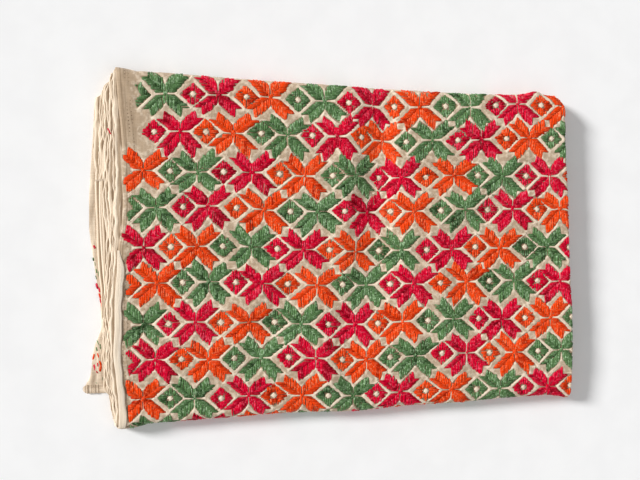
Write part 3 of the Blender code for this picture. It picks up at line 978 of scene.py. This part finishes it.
def cotton_base(u, v, light, dark):
    """Colour and relief that every stretch of the cotton shares: a plain weave with uneven
    threads and painted shade in the hollows between them, slubs that streak both ways, soft
    stains and flecks."""
    wander = (u * 0.2).joined(v).noise(260.0)
    inputs = {"Vector": (wander * 0.0009 + u).joined(v), "Scale": BANDS_PER_METRE / THREAD}
    warp, weft = (
        u.nodes.value("ShaderNodeTexWave", inputs, "Fac", bands_direction=way) for way in "XY"
    )
    threads = warp * weft
    slubs = (u * SLUB_ACROSS).joined(v * SLUB_ALONG), (u * SLUB_ALONG).joined(v * SLUB_ACROSS)
    streak = (slubs[0].noise(1.0) + slubs[1].noise(1.0)) * 0.5
    stain = u.joined(v).noise(14.0)
    shade = (streak.span(0.36, 0.64, 0.0, 0.6) + stain.span(0.3, 0.7, 0.0, 0.4)).mix(dark, light)
    # Painted shade: the hollows between the threads are darkened.
    shade = threads.span(0.0, 1.0, 0.22, 0.0).mix(shade, CREAM_DEEP)
    flecks = (u * 2.2).joined(v).noise(620.0, 1.0)
    shade = flecks.span(0.7, 0.76, 0.0, 0.55).mix(shade, FLECK)
    return shade, threads * 0.5 + streak * 1.2


def panel_cotton():
    """The top panel's cloth, puckered between the stitched areas, with a pricked selvedge, a
    painted highlight on its puffs and painted shade right beside the stitches.
    """
    nodes = Nodes("embroidered_cotton")
    u, v = nodes.map_parts("weave")
    gap, margin = nodes.map_parts("relief")
    narrow, _ = nodes.map_parts("between")
    shade, height = cotton_base(u, v, CREAM, CREAM_TAN)
    ripple, soft = u.joined(v).noise(150.0, 3.0), u.joined(v).noise(210.0)
    # Painted highlight: bright lines along the thin gaps and soft bright patches on the wide ones; the
    # same puffs also raise the bump.
    thin = gap.span(0.0, 0.08) * gap.span(0.3, 0.12) * ripple.span(0.3, 0.5, 0.3, 1.0)
    thin = thin * (narrow * 0.75 + 0.15)
    wide = gap.span(0.03, 0.25) * soft.span(0.42, 0.66) * gap.span(0.75, 0.4, 0.0, 0.5)
    puff_and_highlight = thin.math("ADD", wide, clamp=True)
    pricks = pin_holes(margin, v)
    shade = puff_and_highlight.mix(shade, CREAM_PALE)
    # Painted shade: the cloth right beside the stitched areas is darkened.
    shade = gap.span(-0.03, 0.06, 0.7, 0.0).mix(shade, CREAM_DEEP)
    shade = (pricks * 0.9).mix(shade, FLECK)
    shade = (selvedge_lines(margin, v) * 0.6).mix(shade, CREAM_DEEP)
    normal = u.joined(v).noise(95.0, 3.0).bump(1.6 * MM, 0.5)
    normal = puff_and_highlight.math("SUBTRACT", pricks).bump(0.35 * MM, 0.8, Normal=normal)
    normal = height.bump(WEAVE_RELIEF, 0.8, Normal=normal)
    return nodes.finish(shade, 0.88, normal, **COTTON_SHEEN)


def pin_holes(margin, v):
    """Two rows of small holes beside the selvedge."""
    total = 0.0
    for row, (away, pitch, shift) in enumerate(PIN_HOLE_ROWS):
        turns = v * (1 / (pitch * MM)) + shift
        beside = turns.math("FRACT").away(0.5) * (pitch * MM)
        squares = margin.away(away * MM).math("POWER", 2.0) + beside.math("POWER", 2.0)
        spot = squares.math("SQRT").span(0.35 * MM, 0.75 * MM, 1.0, 0.0)
        patchy = v.nodes.value("ShaderNodeCombineXYZ", {0: row + 0.5, 1: v}).noise(34.0)
        total = spot * patchy.span(0.4, 0.6) + total
    return total


def selvedge_lines(margin, v):
    """Faint lines along the selvedge."""
    lines = (margin * 700.0).joined(v * 12.0).noise(1.0).span(0.48, 0.68)
    lines = lines + margin.away(SELVEDGE_FOLD).span(0.3 * MM, 1.1 * MM, 0.9, 0.0)
    return lines.math("MULTIPLY", margin.span(9 * MM, 20 * MM, 1.0, 0.0), clamp=True)


def plain_cotton(name, light, dark, crease_shade, folds, fanned):
    """Plain cloth with soft creases along its edge, with painted shade in the creases and a
    painted highlight on their ridges. Its map runs along the edge in v.
    """
    nodes = Nodes(name)
    u, v = nodes.map_parts("weave")
    shade, height = cotton_base(u, v, light, dark)
    if fanned:
        shown, _ = nodes.map_parts("relief")
        # Painted highlight on the rim of each ply, and painted shade towards the ply above it.
        rim = shown.span(0.5, 0.2) * shown.span(-0.1, 0.05) * 0.95
        shade = rim.mix(shade, CREAM_PALE)
        shade = shown.span(0.55, 1.0, 0.0, 0.9).mix(shade, CREAM_DEEP)
    crease = (u * 210.0).joined(v * 26.0).noise(1.0, 1.5)
    # Painted shade in the creases, and a painted highlight on their ridges.
    shade = crease.span(0.34, 0.5, crease_shade, 0.0).mix(shade, CREAM_DEEP)
    shade = crease.span(0.52, 0.64, 0.0, 0.6).mix(shade, CREAM_PALE)
    normal = height.bump(WEAVE_RELIEF, 0.8, Normal=crease.bump(2.2 * MM, 0.6 * folds))
    return nodes.finish(shade, 0.9, normal, **COTTON_SHEEN)


def floss(name, bright, middle, dark):
    """Untwisted floss: fine strands along each stitch, with a gloss that runs across them,
    painted glints, a painted sheen that leaves the level stitches darker than the upright
    ones, and painted shade at the sides of each stitch.
    """
    nodes = Nodes(name)
    across, far = nodes.map_parts("strand")
    tone, side = nodes.map_parts("shade")
    upright, _ = nodes.map_parts("lie")
    strands = (across * 3.2).joined(far * 0.16, tone).noise(2.0, 3.0, 0.6)
    patches = (far * 0.3).joined(tone * 90.0).noise(1.0)
    shade = strands.span(0.22, 0.48).mix(dark, middle)
    # Painted sheen: the level stitches are darkened against the upright ones, as light from the side
    # would show them.
    shade = (upright * -0.3 + 0.3).mix(shade, dark)
    # Painted glints in the bright colour, stronger on the upright stitches.
    glint = strands.span(0.42, 0.6) * patches.span(0.46, 0.62, 0.0, 0.8)
    shade = (glint * (upright * 0.55 + 0.6)).mix(shade, bright)
    dull = tone.span(0.0, 0.45, 0.75, 0.0) * patches.span(0.7, 0.4, 0.3, 1.0)
    shade = dull.mix(shade, dark)
    # Painted shade at the sides of each stitch, between neighbours.
    shade = side.span(0.6, 1.0, 0.0, 0.5).mix(shade, dark)
    tangent = nodes.value("ShaderNodeTangent", direction_type="UV_MAP", uv_map="strand")
    gloss = {"Tangent": tangent, "Specular_IOR_Level": 0.06, "Anisotropic": 0.9}
    return nodes.finish(shade, 0.42, strands.bump(0.35 * MM, 0.8), **gloss)


def run_steps(start, end, flat_step, fold_steps):
    """Runs from a start to an end, evenly spaced on the flats and round each fold."""
    flat_count = int(335 / flat_step)
    marks = [np.array([start])]
    for whole in range(math.floor(start), math.ceil(end)):
        count = flat_count if whole % 2 else fold_steps
        marks.append(whole + np.arange(count) / count)
    marks = np.concatenate(marks)
    inner = marks[(marks > start + 1e-3) & (marks < end - 1e-3)]
    return np.concatenate([[start], inner, [end]])


def top_cloth(areas, material):
    """The top panel with its puckered cloth, from under the front to the back fold."""
    start = under_run(UNDER_START) - 4
    run = run_steps(start, 3.0, 1.52, 24)[:, None]
    edge = ring_edge(1, run)
    far = turned_end(run)
    share = np.concatenate([np.linspace(0, 0.958, 306), np.linspace(0.958, 1, 18)[1:]])[None, :]
    flat_x = edge + share * (far - edge)
    x, depth = turned(flat_x, run)
    rolled_x = edge + np.array([2.4, 0.5, 0.0, 0.35])[None, :] * MM
    rolled_depth = np.broadcast_to(np.array([0.13, 0.12, 0.07, 0.02]), rolled_x.shape)
    x = np.concatenate([rolled_x, x[:, 1:]], axis=1)
    depth = np.concatenate([rolled_depth, depth[:, 1:]], axis=1)
    flat_x = np.concatenate([rolled_x, flat_x[:, 1:]], axis=1)
    points = creased(pile_point(x, run, depth))
    cloth = together(flat_x, s_at(flat_x, run))
    gap, room = gaps_on(cloth[..., 0] / MM, cloth[..., 1] / MM, areas)
    narrow = ease((NARROW_END - room) / (NARROW_END - NARROW_START))
    diagonal, crossing = cloth[..., 0] + 0.7 * cloth[..., 1], cloth[..., 1] - 0.6 * cloth[..., 0]
    uneven = 0.5 + 0.5 * waves(5, diagonal, 0.05, 0.009) * waves(7, crossing, 0.06, 0.011)
    ridge = 0.8 * ease(gap / 1.2) * (0.75 + 0.5 * uneven)
    swell = 0.45 * ease(gap / 2.8) * (0.5 + uneven) + 0.45 * ease((gap - 1.5) / 3) * (uneven - 0.3)
    puff = narrow * ridge + (1 - narrow) * swell
    soft = 0.35 * waves(6, cloth[..., 1] - 0.4 * cloth[..., 0], 0.16, 0.04)
    pressed = -0.15 * ease(-gap / 1.5)
    lift = (puff + soft + pressed) * MM
    lift[:, :6] *= np.array([0, 0, 0, 0.2, 0.5, 0.8])
    normal = normals(np.gradient(points, axis=1), np.gradient(points, axis=0))
    points = points + normal * lift[..., None]
    points[..., 2] = np.maximum(points[..., 2], 0.05 * MM)
    margin = flat_x - edge
    relief = np.stack([np.clip(gap, -1, 9) / 10, margin], axis=-1)
    between = np.stack([narrow, uneven], axis=-1)
    maps = {"weave": cloth, "relief": relief, "between": between}
    piece = grid_piece("top_cloth", points, maps, material)
    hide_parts("top_panel")
    return piece


def margin_waves(ring, s, share):
    """How a ply's selvedge margin wanders and swells, more towards its edge."""
    wander = (0.9 * waves(20 + ring, s, 0.11, 0.018) + 0.25 * waves(40 + ring, s, 0.02, 0.006)) * MM
    swell = (0.2 + 0.55 * waves(60 + ring, s, 0.07, 0.012)) * MM
    return wander * share**2, swell * np.sin(math.pi * np.clip(share, 0, 1) ** 0.7)


def left_margin(ring, material):
    """The fanned margin of a ring of plies, rounded over at its selvedge."""
    start = under_run(UNDER_START) - 4
    run = run_steps(start, start + 4, 2.2, 18)[:-1, None]
    edge = ring_edge(ring, run)
    near = (ring - 1) * RING_DEPTH
    inner = CORE_LEFT + 4 * MM
    upper = np.concatenate([np.linspace(0, 0.5, 4)[:-1], np.linspace(0.5, 0.99, 11)])
    share = np.concatenate([upper, [1.0, 1.0], upper[::-1][::2]])
    depth = np.concatenate([np.full(len(upper), 0.0), [0.3, 0.72], np.ones(len(upper[::2]))])
    share, depth = share[None, :], near + CLOTH_DEPTH * depth[None, :]
    s = s_at(-0.24, np.where(run > 3.3, run - 4, run))
    s = np.where(run > 3.3, s + 0.9, s)
    wander, swell = margin_waves(ring, s, share)
    under = (run > 3) | (run < 0)
    over_it = 5 - np.where(run < 0, run + 4, run) if ring == RINGS else run
    above = np.where(under, ring_edge(min(ring + 1, RINGS), over_it), ring_edge(ring - 1, run))
    width = np.maximum(above - edge, 0.8 * MM)
    x = inner + share * (edge - inner) + wander
    points = pile_point(x, run, depth)
    outer = (np.arange(share.size) <= len(upper))[None, :]
    on_top = outer & (run > 0.3) & (run < 2.7)
    on_under = ~outer & (run > 3.2) & (run < 3.8)
    points[..., 2] += swell * np.where(on_top, 1.0, np.where(on_under, 0.5, 0.0))
    u = share * (0.03 + 0.01 * ring) + 0.05 * ring
    # How far across its visible strip each point lies, for the painted rim highlight and the painted
    # shade towards the ply above.
    shown = np.clip((x - wander - edge) / width, 0, 2)
    maps = {
        "weave": together(u, s + 0.3 * ring)[:, ::-1],
        "relief": together(shown, 0 * u)[:, ::-1],
    }
    name = f"left_margin_{ring}"
    piece = grid_piece(name, points[:, ::-1], maps, material, closed_rows=True, closed_columns=True)
    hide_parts(f"left_ply_{ring}")
    return piece


def bottom_cloth(material):
    """The lowest ply: its upper side at the left, its selvedge, and its underside."""
    end = under_run(FREE_END)
    run = run_steps(3.001, end, 2.5, 18)[:, None]
    edge = ring_edge(1, run)
    inner = CORE_LEFT + 4 * MM
    upper = np.linspace(0, 0.985, 26)
    under = np.linspace(0.02, 1.0, 60)
    far = turned_end(run)
    parts = [inner + upper * (edge - inner), edge, edge + 0.3 * MM, edge + under * (far - edge)]
    flat_x = np.concatenate(parts, axis=1)
    x, turned_depth = turned(flat_x, run)
    depth = np.concatenate([np.full(26, CLOTH_DEPTH), [CLOTH_DEPTH * 0.6, CLOTH_DEPTH * 0.15]])[None, :]
    depth = np.concatenate([np.broadcast_to(depth, (len(run), 28)), turned_depth[:, 28:]], axis=1)
    points = pile_point(x, run, depth)
    s = (4 - run) * 0.35
    share = np.concatenate([upper, [1, 1], np.zeros(60)])[None, :]
    points[..., 2] += (0.25 + 0.5 * waves(80, s + 0.3 * share, 0.05, 0.012)) * MM * share * (share < 1)
    maps = {"weave": together(flat_x, s)}
    piece = grid_piece("bottom_cloth", points[:, ::-1], {"weave": maps["weave"][:, ::-1]}, material)
    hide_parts("bottom_panel")
    return piece


def turned_margin(material):
    """The selvedge turned back over the top panel, a soft flattened roll."""
    start = float(run_for_y(TURNED_START, CORE_LEFT))
    run = np.linspace(0.72, start, 120)[:, None]
    left = ring_edge(1, run) - TURNED_OVERHANG
    s = s_at(-0.23, run)
    narrowed = ease((start - run) / 0.06)
    uneven = 0.7 * MM * waves(90, s, 0.09, 0.02)
    width = (TURNED_SHOWN + TURNED_OVERHANG + uneven) * (0.35 + 0.65 * narrowed)
    angle = np.linspace(0, 2 * math.pi, 19)[:-1][None, :]
    across = 0.5 - 0.5 * fuller(np.cos(angle), 0.75)
    x = left + across * width
    full = 0.155 * (0.75 + 0.25 * waves(91, s, 0.07, 0.02)) * (0.4 + 0.6 * narrowed)
    lean = 1 - 0.45 * across
    depth = -0.028 - full / 2 - full / 2 * fuller(np.sin(angle), 0.8) * lean
    points = pile_point(x, run, depth)
    # The relief map gives the strip a painted highlight near its fold and painted shade along its free
    # side.
    maps = {
        "weave": together(across * 0.02 + 0.4, s),
        "relief": together(across**2, 0 * s),
    }
    piece = grid_piece("turned_margin", points, maps, material, closed_columns=True)
    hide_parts("turned_selvedge")
    return piece


def core_cloth(material):
    """The hidden plies, with the two bands of cloth that turn at the lengthwise fold."""
    run = run_steps(0.0, 4.0, 3.2, 16)[:-1, None]
    right = right_at(run)
    parts_x, parts_depth = [CORE_LEFT + 0 * run], [np.full_like(run, 1.0)]
    share = np.linspace(0, 1, 17)[None, :]
    parts_x.append(CORE_LEFT + share * (right - TURNED_IN - 2 * GAP - CORE_LEFT))
    parts_depth.append(np.full((len(run), 17), RING_DEPTH))
    parts_x.append(right - TURNED_IN - GAP)
    parts_depth.append(np.full_like(run, BAND_DEPTH))
    for band, which in ((1, "second_band"), (2, "third_band")):
        band_right = right_at(run, which)
        near = band * BAND_DEPTH
        steps = np.linspace(-2.2, math.pi + 2.0, 22)[None, :] * TURN_RADIUS
        s = s_at(0.2, np.minimum(run, 3.3))
        wander = 0.35 * MM * waves(100 + band, s, 0.08, 0.02)
        x, depth = turned(band_right - TURN_RADIUS + steps, run, which, near)
        parts_x.append(x + wander)
        parts_depth.append(depth)
    parts_x.append(right_at(run, "third_band") - 3 * TURN_RADIUS)
    parts_depth.append(np.full_like(run, 1.0))
    x, depth = np.concatenate(parts_x, axis=1), np.concatenate(parts_depth, axis=1)
    points = creased(pile_point(x, run, depth))
    maps = {"weave": together(x, run * 0.2)}
    piece = grid_piece("core_cloth", points, maps, material, closed_rows=True)
    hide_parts("folded_core")
    return piece


def hem(material):
    """The rolled hem at the end of the lowest ply, gathered where it shows."""
    free_part = np.linspace(HEM_LEFT, HEM_COVERED + 8 * MM, 90)
    covered = np.linspace(HEM_COVERED + 8 * MM, HEM_RIGHT, 60)[1:]
    x = np.concatenate([free_part, covered])[:, None]
    back = pile_point(x, under_run(FREE_END), 0.0)[..., 1] + HEM_BACK
    front = pile_point(x, under_run(UNDER_START), 0.0)[..., 1] + HEM_FORWARD
    pressed = ease((x - HEM_FREE) / (HEM_COVERED - HEM_FREE))
    height = HEM_HEIGHT + (HEM_PRESSED - HEM_HEIGHT) * pressed
    angle = np.linspace(0, 2 * math.pi, 21)[:-1][None, :]
    gather = 1.5 * waves(110, x, 0.0036, 0.0018, 3) * (1 - pressed)
    round_end = np.sqrt(np.clip((x - HEM_LEFT + 0.4 * MM) / (4 * MM), 0, 1))
    lift = 0.5 + 0.5 * fuller(np.sin(angle), 0.7)
    out = fuller(np.cos(angle), 0.7)
    full = 1 + 0.17 * gather * (lift > 0.2)
    y = (back + front) / 2 + out * (back - front) / 2 * (1 + 0.03 * gather) * round_end
    seam = 0.35 * np.exp(-(((out - 0.72) / 0.16) ** 2)) * (lift > 0.5) * (1 - pressed)
    z = height * lift * (full - seam) * round_end
    points = together(x, y, z)
    maps = {"weave": together(out * 0.006, x)}
    piece = grid_piece("gathered_hem", points, maps, material, closed_columns=True)
    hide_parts("end_hem")
    return piece


def cut_line(s, beyond):
    """X on the flat cloth beside its left edge, or beside the turned-back strip, in mm."""
    line = np.interp(s, LEFT_EDGE["y"][::-1] / MM, LEFT_EDGE["edge_0"][::-1] / MM) + beyond
    return line + (TURNED_SHOWN / MM + 0.2) * ease((TURNED_START / MM + 4 - s) / 8)


def in_cloth(stitches):
    """The stitches cut off at the top panel's left edge, and at the turned-back strip."""
    for end in (0, 1):
        limit = cut_line(stitches[:, end, 1], 1.2)
        stitches[:, end, 0] = np.maximum(stitches[:, end, 0], limit)
    x, s = stitches.mean(axis=1).T
    length = np.linalg.norm(stitches[:, 1] - stitches[:, 0], axis=1)
    reach = (s > STITCHED_FROM) & (s < STITCHED_TO) & (x < STITCHED_RIGHT)
    plain_corner = (x < PLAIN_CORNER[0]) & (s > PLAIN_CORNER[1])
    return stitches[(length > SHORTEST_STITCH) & (x > cut_line(s, 1.6)) & reach & ~plain_corner]


def embroidery(areas, rng):
    """All stitches of the top panel, by colour, in mm on the flat cloth."""
    made = {name: [] for name in COLOURS}
    for motif in areas:
        made[motif[3]].append(placed(motif, rng))
    return {name: in_cloth(np.concatenate(parts)) for name, parts in made.items()}


def stage_and_light():
    """A pale floor, a soft key light from the back left, a faint fill and a pale world."""
    bpy.ops.mesh.primitive_plane_add(size=8, location=(0, 0, 0))
    floor = bpy.context.object
    floor.name = "floor"
    nodes = Nodes("pale_floor")
    grain = nodes.value("ShaderNodeTexCoord", output="Object").noise(30.0)
    shade = grain.span(0.3, 0.7).mix(colour(250, 250, 250), colour(253, 253, 253))
    floor.data.materials.append(nodes.finish(shade, 0.9, grain.bump(0.02 * MM, 1.0)))
    for name, place, width, strength in (
        ("key_light", (-0.85, 0.35, 0.46), 14.0, 3.5),
        ("fill_light", (0.7, -0.5, 0.9), 40.0, 0.35),
    ):
        data = bpy.data.lights.new(name, "SUN")
        data.angle = math.radians(width)
        data.energy = strength
        light = bpy.data.objects.new(name, data)
        light.location = place
        way = -np.array(place)
        flat = math.hypot(way[0], way[1])
        light.rotation_euler = (math.atan2(flat, -way[2]), 0, math.atan2(way[1], way[0]) - math.pi / 2)
        bpy.context.scene.collection.objects.link(light)
    world = bpy.data.worlds.new("studio")
    world.use_nodes = True
    world.node_tree.nodes["Background"].inputs["Color"].default_value = (1, 1, 1, 1)
    world.node_tree.nodes["Background"].inputs["Strength"].default_value = 0.36
    bpy.context.scene.world = world
    bpy.context.scene.view_settings.view_transform = "Standard"


def camera():
    """The camera, at the photograph's angle."""
    data = bpy.data.cameras.new("camera")
    data.lens = 43.46
    data.sensor_width = 36.0
    made = bpy.data.objects.new("camera", data)
    tilt = math.radians(8.5)
    away = 0.85
    made.location = (-0.018 - away * math.sin(tilt), 0.0085, away * math.cos(tilt))
    made.rotation_euler = (0, -tilt, 0)
    bpy.context.scene.collection.objects.link(made)
    bpy.context.scene.camera = made


# Specks of floss that show on the plies below: the colour, the ring that they lie on (0 is
# the lowest ply), the start and the end of the stitch in mm, and how wide it is
SPECK_COLUMNS = ("colour", "ring", "x_start", "y_start", "x_end", "y_end", "width")
SPECK_ROWS = (
    ("crimson", 3, -242.6, 124.0, -240.4, 120.0, 2.2),
    ("crimson", 3, -241.4, 121.6, -239.2, 117.6, 2.2),
    ("crimson", 0, -259.4, 3.0, -257.4, -0.6, 2.0),
    ("green", 0, -259.6, -10.0, -259.0, -13.6, 1.6),
    ("green", 0, -258.0, -14.5, -257.4, -19.0, 1.3),
    ("green", 0, -256.6, -21.5, -255.8, -26.5, 1.4),
    ("green", 0, -254.2, -24.0, -253.4, -30.0, 1.3),
    ("green", 0, -257.0, -29.0, -255.8, -33.0, 1.4),
    ("crimson", 0, -256.4, -37.0, -254.6, -43.0, 2.2),
    ("crimson", 0, -253.8, -41.0, -252.4, -47.0, 2.2),
    ("orange", 0, -253.6, -47.5, -252.2, -53.0, 2.0),
    ("crimson", 0, -252.6, -53.0, -251.4, -58.5, 2.0),
    ("orange", 0, -251.2, -57.0, -250.4, -63.0, 1.8),
    ("green", 0, -255.6, -97.0, -254.0, -102.0, 1.4),
    ("green", 0, -252.6, -101.0, -251.8, -107.0, 1.3),
    ("green", 0, -256.4, -104.0, -255.6, -108.5, 1.5),
    ("orange", 0, -258.4, -111.0, -259.8, -117.5, 1.9),
    ("orange", 0, -255.2, -110.5, -253.2, -117.0, 2.2),
    ("orange", 0, -253.8, -116.0, -251.4, -124.0, 2.4),
    ("crimson", 0, -258.6, -122.0, -257.4, -129.5, 2.1),
    ("crimson", 0, -257.0, -127.5, -254.8, -132.0, 1.8),
    ("orange", 0, -251.6, -123.5, -252.8, -130.5, 1.7),
    ("crimson", 0, -255.2, -120.5, -254.8, -125.0, 1.4),
    ("green", 0, -257.0, -141.5, -254.6, -143.0, 1.1),
    ("green", 0, -250.0, -136.0, -248.6, -141.0, 1.2),
)

# The folds of the right edge: which fold, how deep it lies, under or over the middle, and
# how far its stars stand from those of the top panel, in mm
BAND_COLUMNS = ("fold", "depth", "under", "x", "s")
BAND_ROWS = (
    ("second_band", BAND_DEPTH, False, -282.0, 12.0),
    ("third_band", 2 * BAND_DEPTH, False, -249.0, -9.0),
    ("third_band", 2 * BAND_DEPTH, True, -271.0, 6.0),
    ("second_band", BAND_DEPTH, True, -238.0, -14.0),
    ("panel", 0.0, True, -263.0, 3.0),
)
BAND_FROM = -5.0
BAND_TO = 7.5


def specks(flosses, rng):
    """The few stitches that show on the plies of the left side."""
    made = []
    for number, row in enumerate(SPECK_ROWS):
        speck = dict(zip(SPECK_COLUMNS, row))
        start, end = (speck["x_start"], speck["y_start"]), (speck["x_end"], speck["y_end"])
        place = ply_place(speck["ring"]) if speck["ring"] else leaf_place
        material = flosses[speck["colour"]]
        name = f"speck_{number + 1}"
        stitch = np.array(((start, end),))
        made.append(floss_mesh(name, stitch, place, material, rng, speck["width"], 0.7))
    return made


def band_stitches(stitches, material, colour_name, rng):
    """The embroidery on the folds of the right edge, from the same rows of stars."""
    made = []
    for number, row in enumerate(BAND_ROWS):
        band = dict(zip(BAND_COLUMNS, row))
        moved = stitches + (band["x"], band["s"])
        middle = moved.mean(axis=1)
        near = (middle[:, 0] > BAND_FROM) & (middle[:, 0] < BAND_TO) & (np.abs(middle[:, 1]) < 172)
        moved = moved[near]
        moved[..., 0] = np.clip(moved[..., 0], BAND_FROM - 1, BAND_TO + 1)
        place = band_place(band["fold"], band["depth"], band["under"])
        name = f"{colour_name}_floss_fold_{number + 1}"
        made.append(floss_mesh(name, moved, place, material, rng, height=0.7))
    return made


# What shows of the cloth, piece by piece, as flat cut sizes in mm: across, along, and the
# pieces that it rests on
SHEET_COLUMNS = ("piece", "width", "length", "rests_on")
SHEET_ROWS = (
    ("top_cloth", 508, 435, ("core_cloth",)),
    ("left_margin_2", 40, 800, ("left_margin_3",)),
    ("left_margin_3", 40, 800, ("left_margin_4",)),
    ("left_margin_4", 40, 800, ("left_margin_5",)),
    ("left_margin_5", 40, 800, ("left_margin_6",)),
    ("left_margin_6", 40, 800, ("bottom_cloth",)),
    ("bottom_cloth", 525, 330, ("floor",)),
    ("turned_margin", 10, 185, ("top_cloth",)),
    ("core_cloth", 470, 780, ("bottom_cloth",)),
)


def declare_sheets(sheets):
    """Looks up how large each stretch of cloth is when it lies flat, and does nothing with it."""
    rows = {row[0]: dict(zip(SHEET_COLUMNS, row)) for row in SHEET_ROWS}
    for piece in sheets:
        row = rows[piece.name]
        size = (row["width"] * MM, row["length"] * MM)


def main():
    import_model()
    camera()
    rng = np.random.default_rng(12)
    areas = motifs(rng)
    embroidered = panel_cotton()
    light, deep, turned_back, lowest, core, hem_cotton = (plain_cotton(*row) for row in COTTON_ROWS)
    flosses = {
        name: floss(f"{name}_floss", *(colour(*shade) for shade in shades))
        for name, shades in FLOSS_COLOURS.items()
    }
    sheets = [top_cloth(areas, embroidered)]
    for ring in range(2, RINGS + 1):
        # The rings take turns between two cottons that differ only in how much painted shade their
        # creases get.
        sheets.append(left_margin(ring, light if ring % 2 else deep))
    sheets.append(bottom_cloth(lowest))
    sheets.append(turned_margin(turned_back))
    sheets.append(core_cloth(core))
    hem_piece = hem(hem_cotton)
    stitches = embroidery(areas, rng)
    floss_pieces = []
    for name, made in stitches.items():
        piece = floss_mesh(f"{name}_floss", made, panel_place, flosses[name], rng)
        floss_pieces.append(piece)
        floss_pieces += band_stitches(made, flosses[name], name, rng)
    floss_pieces += specks(flosses, rng)
    for piece in sheets + [hem_piece] + floss_pieces:
        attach(piece, "root")
    declare_sheets(sheets)
    stage_and_light()


main()
